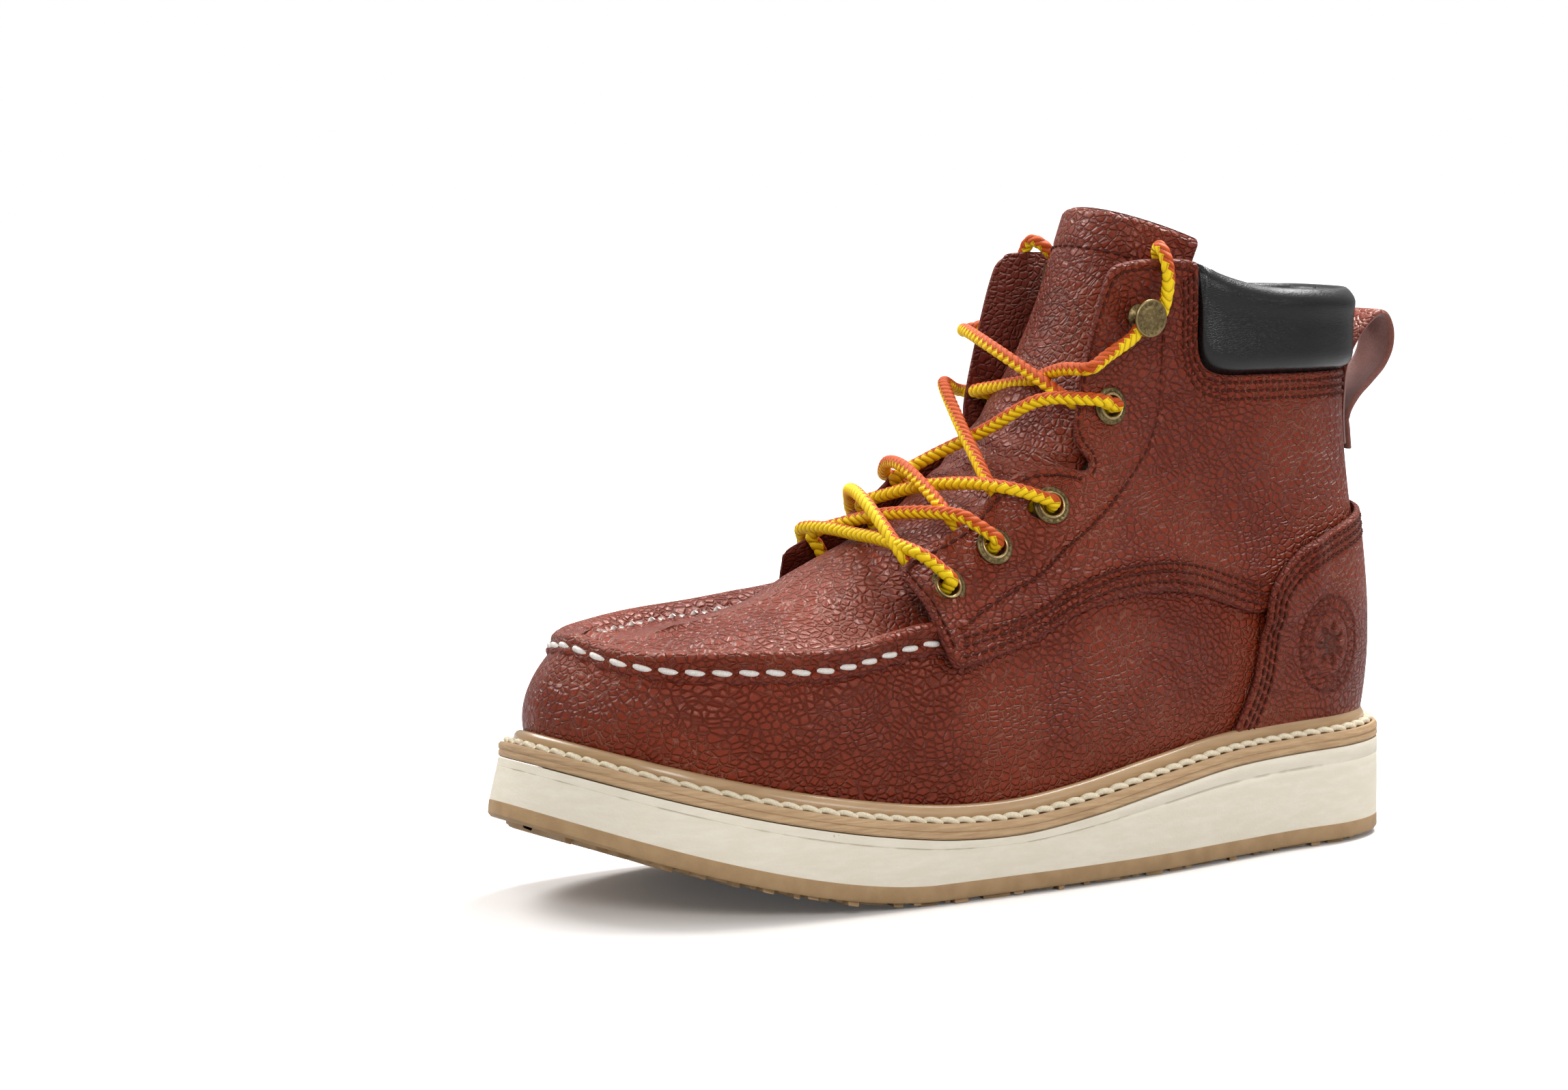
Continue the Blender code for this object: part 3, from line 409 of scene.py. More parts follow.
def loft(rings, closed=False):
    """Vertices and faces through rings of points: closed into a loop, or with a cap at either end."""
    rings = np.array(rings)
    rows, columns = rings.shape[:2]
    faces = grid_faces(rows, columns, loop_rows=closed, loop_columns=True)
    if not closed:
        faces.append(list(range(columns))[::-1])
        faces.append([(rows - 1) * columns + j for j in range(columns)])
    return rings.reshape(-1, 3), faces


def sheet_faces(rows, columns):
    """Faces of a closed sheet whose outer grid of vertices is followed by its inner grid."""
    base, last = rows * columns, (rows - 1) * columns
    faces = grid_faces(rows, columns) + [f[::-1] for f in grid_faces(rows, columns, base)]
    borders = (range(0, base, columns), range(base - 1, -1, -columns), range(last, base),
               range(columns - 1, -1, -1))
    return faces + [[a, b, base + b, base + a] for line in borders for a, b in zip(line[:-1], line[1:])]


class Heap:
    """Many small solids gathered into one mesh; tint is one number, or one for each vertex."""

    def __init__(self):
        self.verts, self.faces, self.tints, self.count = [], [], [], 0

    def add(self, verts, faces, tint=0.0):
        self.verts.append(np.asarray(verts, float))
        self.faces += [[i + self.count for i in f] for f in faces]
        self.tints.append(np.broadcast_to(tint, len(verts)))
        self.count += len(verts)

    def make(self, name, substance, **more):
        make(name, np.vstack(self.verts), self.faces, substance, tint=np.concatenate(self.tints), **more)


def frames_along(points, up):
    """Tangent and two cross directions at each point of a line; up is the preferred normal."""
    points, up = np.asarray(points, float), np.asarray(up, float)
    along = unit(np.gradient(points, axis=0))
    across = np.cross(along, up)
    across /= np.maximum(np.linalg.norm(across, axis=1)[:, None], 1e-9)
    return along, across, np.cross(across, along)


def round_rings(points, across, normal, radii, sides):
    """A ring of points round each point of a line; radii has a row for each ring."""
    angle = np.arange(sides) * 2 * math.pi / sides
    return (points[:, None] + across[:, None] * (np.cos(angle)[None, :, None] * radii[..., None])
            + normal[:, None] * (np.sin(angle)[None, :, None] * radii[..., None]))


def rod(points, up, radii, sides=8):
    """A round rod along points, with a radius at each one."""
    points = np.asarray(points, float)
    _, across, normal = frames_along(points, np.broadcast_to(up, points.shape))
    return loft(round_rings(points, across, normal, np.broadcast_to(radii, len(points))[:, None], sides))


def evenly(line, step):
    """Points along a line, evenly spaced by about step."""
    line = np.asarray(line, float)
    run = arc_length(line)
    return read_along(np.linspace(0, run[-1], max(2, int(round(run[-1] / step)) + 1)), run, line)


def left_of(line):
    """Direction to the left of a flat line at each of its points."""
    along = unit(np.gradient(line, axis=0))
    return np.stack([-along[:, 1], along[:, 0]], 1)


def offset_line(line, distance):
    """A flat line moved sideways to its left by distance."""
    return line + left_of(line) * distance


def to_segments(points, line, closed=False):
    """Distance from each flat point to a line, some thousands of points at a time."""
    a = np.asarray(line, float)
    b = np.roll(a, -1, axis=0) if closed else a[1:]
    a = a if closed else a[:-1]
    d = b - a
    best = np.zeros(len(points))
    batch = 4000
    for start in range(0, len(points), batch):
        p = points[start:start + batch, None]
        t = np.clip(((p - a) * d).sum(-1) / np.maximum((d * d).sum(-1), 1e-12), 0, 1)
        best[start:start + batch] = np.linalg.norm(p - (a + t[..., None] * d), axis=-1).min(1)
    return best


def inside(points, line):
    """Whether each flat point lies inside a closed line."""
    a, b = np.asarray(line, float), np.roll(np.asarray(line, float), -1, axis=0)
    out = np.zeros(len(points), bool)
    for (ax, ay), (bx, by) in zip(a, b):
        if ay == by:
            continue
        crosses = (points[:, 1] > min(ay, by)) & (points[:, 1] <= max(ay, by))
        out ^= crosses & (points[:, 0] < ax + (points[:, 1] - ay) * (bx - ax) / (by - ay))
    return out


def fill(outline, holes=(), spacing=1.3, border=0.7):
    """Triangles over a flat outline with holes: points, triangles, and distance to the edge."""
    loops = [evenly(np.vstack([outline, outline[:1]]), spacing * 0.75)[:-1]]
    loops += [evenly(np.vstack([hole, hole[:1]]), spacing * 0.5)[:-1] for hole in holes]
    low, high = loops[0].min(0), loops[0].max(0)
    xs = np.arange(low[0], high[0], spacing)
    ys = np.arange(low[1], high[1], spacing * 0.866)
    gx, gy = np.meshgrid(xs, ys)                      # rows of even triangles
    gx = gx + (np.arange(len(ys)) % 2)[:, None] * spacing / 2
    inner = np.stack([gx.ravel(), gy.ravel()], 1)
    rings = []
    for k, loop in enumerate(loops):
        closed = np.vstack([loop[-1:], loop, loop[:1]])
        sign = np.sign(np.sum(loop[:, 0] * np.roll(loop[:, 1], -1) - np.roll(loop[:, 0], -1) * loop[:, 1]))
        rings.append(offset_line(closed, border * sign * (1 if k == 0 else -1))[1:-1])
    ring = np.vstack(rings)

    def clearance(points):
        return np.min([to_segments(points, loop, True) for loop in loops], axis=0)

    def within(points):
        ok = inside(points, loops[0])
        for hole in loops[1:]:
            ok &= ~inside(points, hole)
        return ok

    ring = ring[within(ring)]
    ring = ring[clearance(ring) > border * 0.93]
    inner = inner[within(inner)]
    inner = inner[clearance(inner) > border + spacing * 0.55]
    points = np.vstack(loops + [ring, inner])
    edges, count = [], 0
    for loop in loops:
        n = len(loop)
        edges += [(count + i, count + (i + 1) % n) for i in range(n)]
        count += n
    result = delaunay_2d_cdt([Vector(p) for p in points], edges, [], 0, 1e-6)
    flat = np.array([tuple(v) for v in result[0]])
    faces = np.array([f for f in result[2] if len(f) == 3])
    faces = faces[within(flat[faces].mean(1))]
    return flat, faces, clearance(flat)


def rim_edges(faces):
    """Directed edges that belong to one triangle only."""
    edges = np.vstack([faces[:, [0, 1]], faces[:, [1, 2]], faces[:, [2, 0]]])
    keys = np.sort(edges, axis=1)
    _, first, count = np.unique(keys, axis=0, return_index=True, return_counts=True)
    return edges[first[count == 1]]


def ripple(points, size=1.0, seed=0):
    """Smooth unevenness of about -1 to 1 over points in space."""
    rng = np.random.default_rng(seed)
    out = np.zeros(len(points))
    for k in range(9):
        way = rng.normal(size=3)
        way *= rng.uniform(0.6, 1.7) / np.linalg.norm(way) / size
        out += np.sin(points @ way + rng.uniform(0, 6.28)) / 3.4
    return out


def flat(points):
    """(u, z) points to flat millimetres."""
    return np.asarray(points, float) * (SPAN, 1.0)


def on_upper(points, side, offset):
    """Flat points of a panel onto the upper, offset outwards."""
    return upper(points[:, 0] / SPAN, points[:, 1], side, offset)


def signed_upper(points, side, offset):
    """The same for a panel whose u is signed or runs past the toe; side is not needed."""
    return upper_signed(points[:, 0] / SPAN, points[:, 1], offset)


def leather_panel(name, outline, side, base, thick, holes=(), grooves=(), spacing=1.3, surface=on_upper,
                  wave=0.25, bulge=None, replaced=(), turn=0.9):
    """A leather sheet cut to a flat outline and laid over the upper, with rounded edges and seam grooves."""
    points, faces, edge = fill(outline, holes, spacing)
    low = base(points) if callable(base) else np.full(len(points), float(base))
    anchor = surface(points, side, low)
    shared = ripple(anchor, 14, 5) * wave * np.clip(edge / 12, 0, 1)
    rounding = turn - np.sqrt(np.maximum(turn**2 - np.clip(turn - edge, 0, turn) ** 2, 0))
    top = low + thick - rounding + shared
    for line, depth, width in grooves:
        top -= depth * np.exp(-(to_segments(points, line) / width) ** 2)
    mark = np.zeros(2 * len(points))
    if bulge is not None:
        raised = bulge(points, edge)
        top += raised
        mark[:len(points)] = np.clip(-raised * 2.2, 0, 1)
    outer, inner = surface(points, side, top), surface(points, side, low + shared * 0.5)
    sample = faces[0]
    n = np.cross(outer[sample[1]] - outer[sample[0]], outer[sample[2]] - outer[sample[0]])
    if np.dot(n, outer[sample[0]] - inner[sample[0]]) < 0:
        faces = faces[:, ::-1]
    count = len(points)
    rims = rim_edges(faces)
    all_faces = faces.tolist() + (faces[:, ::-1] + count).tolist()
    all_faces += [[b, a, a + count, b + count] for a, b in rims]
    rim = np.clip(1 - edge / 0.6, 0, 1)
    rim = np.concatenate([rim, np.full(count, 0.6)])
    return make(name, np.vstack([outer, inner]), all_faces, "leather", rim=rim, tint=mark, replaced=replaced)


def sewn(heap, line, side, height, pitch=3.3, length=2.7, radius=0.38, surface=on_upper, sink=0.5):
    """Stitches along a flat line on a surface: height gives the surface's offset at flat points."""
    knots = evenly(line, pitch)
    for a, b in zip(knots[:-1], knots[1:]):
        middle, way = (a + b) / 2, unit(b - a)
        spots = middle + way * np.linspace(-0.5, 0.5, 6)[:, None] * length
        base = height(spots) if callable(height) else np.full(6, float(height))
        arch = np.array([-sink, 0.12, 0.3, 0.3, 0.12, -sink]) * radius * 2.2
        points = surface(spots, side, base + arch)
        up = surface(spots, side, base + arch + 1) - points
        heap.add(*rod(points, up, np.array([0.72, 1, 1.06, 1.06, 1, 0.72]) * radius, 6))


# ---------------------------------------------------------------- materials
# Every material, by its name.
MATERIALS = {}


class Nodes:
    """Shorthand for building a node tree."""

    def __init__(self, tree):
        self.tree = tree

    def node(self, kind, settings=None, inputs=None):
        made = self.tree.nodes.new(kind)
        for key, value in (settings or {}).items():
            setattr(made, key, value)
        for key, value in (inputs or {}).items():
            if isinstance(value, bpy.types.NodeSocket):
                self.tree.links.new(value, made.inputs[key])
            else:
                made.inputs[key].default_value = value
        return made

    def math(self, operation, a, b=0.0, c=0.0):
        return self.node("ShaderNodeMath", {"operation": operation}, {0: a, 1: b, 2: c}).outputs[0]

    def times(self, a, b):
        return self.math("MULTIPLY", a, b)

    def plus(self, a, b):
        return self.math("ADD", a, b)

    def minus(self, a, b):
        return self.math("SUBTRACT", a, b)

    def vector(self, operation, a, b):
        return self.node("ShaderNodeVectorMath", {"operation": operation}, {0: a, 1: b}).outputs[0]

    def scaled(self, a, factor):
        return self.node("ShaderNodeVectorMath", {"operation": "SCALE"}, {0: a, "Scale": factor}).outputs[0]


class Paint(Nodes):
    """A principled material built from nodes."""

    def __init__(self, name, **values):
        material = bpy.data.materials.new(name)
        material.use_nodes = True
        super().__init__(material.node_tree)
        self.shader = self.tree.nodes["Principled BSDF"]
        for key, value in values.items():
            self.shader.inputs[key.replace("_", " ")].default_value = value
        MATERIALS[name] = material
        self.place = self.scaled(self.node("ShaderNodeTexCoord").outputs["Object"], 1 / MM)

    def noise(self, scale, detail=2.0, rough=0.5, stretch=None):
        spot = self.vector("MULTIPLY", self.place, stretch) if stretch else self.place
        return self.node("ShaderNodeTexNoise", None,
                         {"Vector": spot, "Scale": scale, "Detail": detail, "Roughness": rough}).outputs[0]

    def warped(self, scale, amount, spot=None):
        """Places in millimetres, pushed about by a noise."""
        spot = spot or self.place
        noise = self.node("ShaderNodeTexNoise", None, {"Vector": spot, "Scale": scale, "Detail": 1.0})
        shift = self.vector("SUBTRACT", noise.outputs["Color"], (0.5, 0.5, 0.5))
        return self.vector("ADD", spot, self.scaled(shift, amount))

    def cells(self, scale, spot, feature="DISTANCE_TO_EDGE"):
        made = self.node("ShaderNodeTexVoronoi", {"feature": feature}, {"Vector": spot, "Scale": scale})
        return made.outputs["Distance"]

    def ramp(self, value, low, high, to_low=0.0, to_high=1.0):
        ends = {"Value": value, "From Min": low, "From Max": high, "To Min": to_low, "To Max": to_high}
        return self.node("ShaderNodeMapRange", {"interpolation_type": "SMOOTHSTEP"}, ends).outputs[0]

    def mix(self, share, a, b):
        a, b = (c if isinstance(c, bpy.types.NodeSocket) else (*c, 1.0) for c in (a, b))
        return self.node("ShaderNodeMix", {"data_type": "RGBA"}, {0: share, 6: a, 7: b}).outputs[2]

    def mottled(self, value, low, high, a, b):
        """From one colour to the other as a value passes from low to high."""
        return self.mix(self.ramp(value, low, high), a, b)

    def attribute(self, name):
        return self.node("ShaderNodeAttribute", {"attribute_name": name}).outputs["Fac"]

    def colour(self, socket):
        self.tree.links.new(socket, self.shader.inputs["Base Color"])

    def rough(self, socket):
        self.tree.links.new(socket, self.shader.inputs["Roughness"])

    def bump(self, height, distance_mm, strength=1.0):
        made = self.node("ShaderNodeBump", None,
                         {"Height": height, "Distance": distance_mm * MM, "Strength": strength})
        self.tree.links.new(made.outputs[0], self.shader.inputs["Normal"])


def paint_leather(name, base, dark, crease, grain=0.43, depth=0.95, rough=0.35, cut=(0.15, 0.026, 0.016)):
    """Pebbled leather: domed grain cells between narrow creases, finer side creases, and bare cut edges."""
    p = Paint(name, Specular_IOR_Level=0.42, Specular_Tint=(1.0, 0.76, 0.66, 1))
    loose = p.vector("MULTIPLY", p.warped(0.35, 0.8, p.warped(0.05, 6.0)), (0.85, 1.0, 1.2))
    edge = p.cells(grain, loose)
    cells, domes = p.ramp(edge, 0.0, 0.085), p.ramp(edge, 0.0, 0.24)
    fine = p.ramp(p.cells(grain * 2.1, loose), 0.0, 0.07)
    folds = p.ramp(p.cells(grain * 0.36, loose), 0.0, 0.05)
    where = p.ramp(p.noise(0.04, 2.0), 0.40, 0.62)
    height = p.math("MULTIPLY_ADD", cells, 0.16, p.math("MULTIPLY_ADD", domes, 0.36, p.times(fine, 0.04)))
    deep = p.times(p.minus(folds, 1.0), p.math("MULTIPLY_ADD", where, 0.14, 0.02))
    p.bump(p.plus(height, deep), depth)
    colour = p.mix(p.ramp(p.noise(0.03, 2.0), 0.25, 0.75), dark, base)
    # Painted shade: the colour darkens from each dome's top down into the creases round it.
    painted_crease_shade = (dark[0] * 0.45, dark[1] * 0.42, dark[2] * 0.45)
    colour = p.mix(p.times(p.minus(1.0, domes), 0.55), colour, painted_crease_shade)
    # Lighter crease lines in patches: partly the leather's waxy colour, partly a painted highlight in the
    # creases.
    waxy_and_highlight = p.ramp(p.noise(0.03, 1.0), 0.44, 0.62, 0.0, 0.60)
    colour = p.mix(p.times(p.minus(1.0, cells), waxy_and_highlight), colour, crease)
    burnt = (dark[0] * 0.28, dark[1] * 0.35, dark[2] * 0.4)
    colour = p.mix(p.times(p.attribute("tint"), 0.62), colour, burnt)
    rim = p.attribute("rim")
    p.colour(p.mix(p.math("MINIMUM", p.times(rim, 1.2), 1.0), colour, cut))
    p.rough(p.plus(p.math("MULTIPLY_ADD", cells, -0.14, rough + 0.14), p.times(rim, 0.30)))


def paint_all():
    """Every material; colours are linear, distances and scales are in millimetres."""
    paint_leather("leather", (0.222, 0.0235, 0.0046), (0.170, 0.0175, 0.0038), (0.34, 0.110, 0.062))
    paint_leather("lining", (0.20, 0.12, 0.07), (0.15, 0.09, 0.05), (0.24, 0.15, 0.09), 0.9, 0.12, 0.7)

    p = Paint("satin", Base_Color=(0.004, 0.004, 0.0042, 1), Roughness=0.27, Specular_IOR_Level=0.5)
    fine = p.cells(1.6, p.warped(0.8, 0.5))
    p.bump(p.plus(p.ramp(fine, 0.0, 0.3), p.noise(0.12, 2.0)), 0.05, 0.5)

    p = Paint("cloth", Base_Color=(0.020, 0.021, 0.023, 1), Roughness=0.85, Sheen_Weight=0.25)
    p.bump(p.noise(1.8, 2.0), 0.12, 0.7)

    p = Paint("brass", Metallic=1.0, Roughness=0.34)
    worn = p.ramp(p.noise(0.9, 3.0), 0.35, 0.65)
    bright = p.math("MAXIMUM", p.attribute("tint"), p.times(worn, 0.42))
    p.colour(p.mix(bright, (0.10, 0.072, 0.030), (0.46, 0.34, 0.16)))
    p.rough(p.ramp(bright, 0.0, 1.0, 0.5, 0.26))
    p.bump(p.noise(2.2, 2.0), 0.05, 0.4)

    p = Paint("rand", Roughness=0.30, Coat_Weight=0.45, Coat_Roughness=0.22)
    streak = p.noise(0.5, 3.0, 0.6, stretch=(0.12, 0.12, 1.4))
    p.colour(p.mottled(streak, 0.3, 0.7, (0.40, 0.245, 0.118), (0.47, 0.30, 0.152)))
    p.bump(streak, 0.05, 0.4)

    p = Paint("welt", Roughness=0.62)
    layers = p.noise(0.9, 4.0, 0.7, stretch=(0.10, 0.10, 1.6))
    edge = p.attribute("tint")
    colour = p.mottled(layers, 0.32, 0.68, (0.42, 0.255, 0.125), (0.56, 0.375, 0.205))
    p.colour(p.mix(edge, (0.42, 0.265, 0.135), colour))
    p.bump(p.times(layers, p.math("MULTIPLY_ADD", edge, 0.8, 0.2)), 0.22, 0.8)

    p = Paint("cream", Roughness=0.66, Specular_IOR_Level=0.35)
    band = p.attribute("tint")
    line = p.times(p.ramp(p.math("ABSOLUTE", p.minus(band, 0.80)), 0.010, 0.022, 1.0, 0.0),
                  p.ramp(p.noise(0.08, 2.0), 0.44, 0.58))
    spots = p.ramp(p.cells(0.11, p.warped(0.9, 2.6), "F1"), 0.12, 0.19, 1.0, 0.0)
    sparse = p.ramp(p.noise(0.045, 1.0), 0.53, 0.56)
    high = p.times(p.ramp(band, 0.60, 0.72), p.ramp(band, 0.93, 0.97, 1.0, 0.0))
    fleck = p.times(p.times(spots, sparse), high)
    grime = p.noise(0.25, 4.0, 0.65, stretch=(0.35, 0.35, 1.5))
    colour = p.mottled(grime, 0.35, 0.75, (0.80, 0.725, 0.585), (0.86, 0.79, 0.655))
    colour = p.mix(p.times(line, 0.35), colour, (0.35, 0.26, 0.16))
    p.colour(p.mix(fleck, colour, (0.27, 0.10, 0.045)))
    down = p.plus(p.times(line, -0.6), p.times(fleck, -0.6))
    p.bump(p.plus(down, p.times(p.noise(1.3, 3.0), 0.35)), 0.25, 0.8)

    p = Paint("gum", Roughness=0.6)
    p.colour(p.mix(p.ramp(p.noise(0.15, 4.0), 0.3, 0.7), (0.38, 0.235, 0.108), (0.45, 0.285, 0.138)))
    p.bump(p.noise(1.6, 3.0), 0.16, 0.7)

    for name, base, other in (("thread", (0.80, 0.72, 0.54), (0.62, 0.53, 0.37)),
                              ("white", (0.84, 0.80, 0.75), (0.66, 0.60, 0.54)),
                              ("brown", (0.085, 0.020, 0.0115), (0.055, 0.012, 0.007))):
        p = Paint(name, Roughness=0.62, Specular_IOR_Level=0.12 if name == "brown" else 0.5)
        fibre = p.noise(2.4, 2.0, 0.6)
        p.colour(p.mix(p.ramp(fibre, 0.3, 0.7), other, base))
        p.bump(fibre, 0.12, 0.6)

    p = Paint("lace", Roughness=0.6, Specular_IOR_Level=0.3)
    phase, seam = p.attribute("rim"), p.attribute("tint")
    saw = p.math("MULTIPLY_ADD", p.math("ABSOLUTE", p.minus(p.math("FRACT", phase), 0.5)), 4.0, -1.0)
    share = p.ramp(p.minus(seam, p.times(saw, 0.36)), -0.03, 0.03)
    fibre = p.noise(3.2, 2.0, 0.6)
    yellow = p.mottled(fibre, 0.3, 0.7, (0.92, 0.58, 0.002), (1.0, 0.72, 0.003))
    rust = p.mottled(fibre, 0.3, 0.7, (0.44, 0.058, 0.003), (0.62, 0.090, 0.004))
    strand = p.minus(phase, p.times(p.math("ABSOLUTE", seam), 0.9))
    ridge = p.math("ABSOLUTE", p.math("SINE", p.times(strand, math.pi)))
    # Painted shade: the colour darkens in the gaps between the strands.
    gap = p.ramp(ridge, 0.0, 0.45, 0.45, 0.0)
    p.colour(p.mix(gap, p.mix(share, yellow, rust), (0.20, 0.045, 0.002)))
    p.bump(p.plus(p.times(p.math("POWER", ridge, 0.6), 0.8), p.times(fibre, 0.15)), 0.45)

    p = Paint("suede", Roughness=0.95, Sheen_Weight=0.35, Sheen_Roughness=0.6)
    nap = p.noise(1.5, 4.0, 0.7)
    p.colour(p.mottled(nap, 0.3, 0.7, (0.17, 0.050, 0.034), (0.26, 0.085, 0.060)))
    p.bump(nap, 0.25, 0.8)

    p = Paint("foam", Base_Color=(0.045, 0.046, 0.050, 1), Roughness=0.9)
    p.bump(p.noise(1.5, 2.0), 0.2, 0.7)

    p = Paint("steel", Metallic=1.0, Base_Color=(0.45, 0.46, 0.47, 1))
    p.rough(p.ramp(p.noise(0.4, 3.0), 0.3, 0.7, 0.30, 0.45))
    p = Paint("board", Roughness=0.85)
    p.colour(p.mix(p.noise(0.8, 4.0, 0.7), (0.30, 0.19, 0.10), (0.50, 0.35, 0.20)))
    p = Paint("cork", Roughness=0.9)
    grain = p.cells(0.6, p.warped(0.5, 1.0), "F1")
    p.colour(p.mottled(grain, 0.2, 0.7, (0.22, 0.12, 0.05), (0.50, 0.32, 0.16)))

# ---------------------------------------------------------------- sole
def around_sole(count):
    """(u, side) once round the boot: outer side heel to toe, then back along the inner side."""
    u = np.linspace(0, 1, count + 1)
    u = 0.5 - 0.5 * np.cos(math.pi * u) * 0.25 - 0.375 * (1 - 2 * u)
    return [(float(a), 1) for a in u] + [(float(a), -1) for a in u[-2:0:-1]]


def wall_rings(spots, profile, flare=None):
    """The profile at each place round the boot, from (inset, base height function, rise) triples.

    flare gives how far each of them stands out further at the toe.
    """
    rings = []
    for u, side in spots:
        at_toe = smooth_step((u - 0.84) / 0.16)
        ring = []
        for (inset, base, rise), out in zip(profile, flare or [0.0] * len(profile)):
            x, y = edge_point(u, side, inset - out * at_toe)[0]
            ring.append((x, y, float(base(x)) + rise))
        rings.append(ring)
    return np.array(rings)


def sole_slab(name, profile, substance, flare, replaced, tint=None):
    """A plate in the sole's outline with a profiled wall, its faces closed from side to side."""
    count = 230
    spots = around_sole(count)
    rings = wall_rings(spots, profile, flare)
    n, p = rings.shape[:2]
    faces = [[f[0], f[3], f[2], f[1]] for f in grid_faces(n, p, loop_rows=True)]
    for last in (0, p - 1):
        for i in range(count):
            far, further = (n - i) % n, (n - i - 1) % n
            face = list(dict.fromkeys(k * p + last for k in (i, i + 1, further, far)))
            faces.append(face if last == 0 else face[::-1])
    make(name, rings.reshape(-1, 3), faces, substance, sharp=35, tint=tint and np.tile(tint, n),
         replaced=replaced)


def band(name, profile, substance, replaced, tint=None):
    """A ring round the boot with a closed profile."""
    spots = around_sole(260)
    verts, faces = loft(wall_rings(spots, profile), closed=True)
    make(name, verts, faces, substance, sharp=40, tint=tint and np.tile(tint, len(spots)), replaced=replaced)


def build_sole():
    """Gum sheet with bars under it, cream wedge, welt with its thread, and the bead round the upper's foot."""
    def sheet_base(x):
        return ground(x) + 1.5

    def sheet_top(x):
        return ground(x) + OUTSOLE_THICK

    def wedge_height(share):
        return lambda x: sheet_top(x) + GAP + (midsole_top(x) - sheet_top(x) - GAP) * share

    sole_slab("outsole_sheet", [(0.6, sheet_base, 0), (0.0, sheet_base, 0.9), (0.02, sheet_top, -0.2),
                                (0.06, sheet_top, 0.15)], "gum", [3.6, 3.9, 3.5, 3.4], ("outsole",))
    steps = [(0.14, -0.02), (0.14, 0.0), (0.12, 0.02), (0.1, 0.2), (0.12, 0.4), (0.18, 0.6), (0.25, 0.72),
             (0.25, 0.79), (0.36, 0.80), (0.25, 0.81), (0.25, 0.93), (0.25, 0.985), (0.4, 1.0)]
    sole_slab("midsole_body", [(inset, wedge_height(share), 0) for inset, share in steps], "cream",
              [3.4 * (1 - share) for _, share in steps], ("midsole_wedge",), [share for _, share in steps])
    build_tread()
    wall = [(inset, midsole_top, rise)
            for inset, rise in ((0.7, GAP), (0.25, 0.8), (0.35, 2.1), (0.6, 2.45), (0.3, 2.8))]
    top = [(inset, welt_top, rise)
           for inset, rise in ((0.35, -0.9), (0.9, -0.1), (1.6, 0.05), (2.2, -0.25), (3.4, -0.8), (4.6, -0.3),
                               (5.0, 0), (16, 0))]
    band("welt_strip", wall + top + [(16, midsole_top, GAP)], "welt", ("welt",), [1] * 6 + [0.5] + [0] * 7)
    bead = ((5.2, 0.05), (4.75, 0.9), (4.7, 2.0), (5.0, 3.2), (5.6, 4.2), (6.6, 4.8), (7.6, 4.7), (8.4, 4.0),
            (8.6, 0.05))
    band("rand_bead", [(inset, welt_top, rise) for inset, rise in bead], "rand", ("rand",))
    build_welt_thread()


def build_tread():
    """Wavy bars across the sole, unevenly wide and high, and narrower under the toe."""
    heap = Heap()
    x, k = 6.0, 0
    while x < SOLE_LENGTH - 5:
        widths, gaps = ((9.5, 2.2, 4.6, 1.8, 6.2, 2.6, 3.4), (1.2, 2.0, 1.0, 3.0, 1.4)) if x < 225 else \
            ((3.6, 2.0, 2.8), (1.2, 1.8))
        wide, gap = widths[k % len(widths)], gaps[k % len(gaps)]
        middle = x + wide / 2
        up = (0.0, 0.7, 0.2, 0.5)[k % 4]
        ends = {}
        for side in (1, -1):
            points, _ = edge_point(np.linspace(0, 1, 500), side, 1.2 + 0.9 * ((k * 7) % 3))
            order = np.argsort(points[:, 0])
            reach = np.interp((x - 1, middle, x + wide + 1), points[order, 0], points[order, 1])
            ends[side] = float(reach.min() if side == 1 else reach.max())
        rings = []
        for y in np.linspace(ends[-1], ends[1], 25):
            shift = 1.5 * math.sin((y - ends[-1]) / 6.5 + k) * min(1.0, (y - ends[-1]) / 6, (ends[1] - y) / 6)
            a, b = middle - wide / 2 + shift, middle + wide / 2 + shift
            za, zb = float(ground(a)), float(ground(b))
            rings.append([(a - 0.3, y, za + 2.6), (a, y, za + 0.25 + up), (a + 0.3, y, za + up),
                          (b - 0.3, y, zb + up), (b, y, zb + 0.25 + up), (b + 0.3, y, zb + 2.6)])
        heap.add(*loft(rings))
        x, k = x + wide + gap, k + 1
    heap.make("tread_bars", "gum", sharp=30)


def build_welt_thread():
    """Chunky two-strand lock stitches lying in the welt's groove."""
    heap = Heap()
    groove, pitch = 3.3, 5.9   # the groove's inset from the sole's edge, and the stitches' spacing along it
    swing = np.linspace(-1, 1, 9)
    for side in (1, -1):
        u = np.linspace(0, 1, 900)
        run = arc_length(edge_point(u, side, groove)[0])
        count = int(round(run[-1] / pitch))
        for k in range(count):
            share = np.interp((k + 0.5) * run[-1] / count + 3.3 * swing, run, u)
            for way, rock in ((-1, 0.25), (1, 0.0)):
                inset = groove + 0.55 * swing * side + 0.55 * way * np.cos(swing * 1.5)
                spots = edge_point(share, side, inset)[0]
                lift = 1.25 * np.cos(swing * 1.25) - 0.4 + rock * np.sin(swing * 3)
                line = np.column_stack([spots, welt_top(spots[:, 0]) + lift])
                heap.add(*rod(line, (0, 0, 1), 0.92 * (1 - 0.45 * swing**4), 7))
    heap.make("welt_stitches", "thread", replaced=("welt_thread",))


# ---------------------------------------------------------------- vamp and apron
SEAM = [(0.62, 74.5), (0.66, 73.5), (0.705, 71.5), (0.75, 69.2), (0.80, 69.0), (0.868, 69.5), (0.912, 70.5),
        (0.953, 72.0), (1.0, 73.6)]
STITCH_PITCH = 7.6
APRON_REAR = 0.625         # u where the apron goes under the quarters


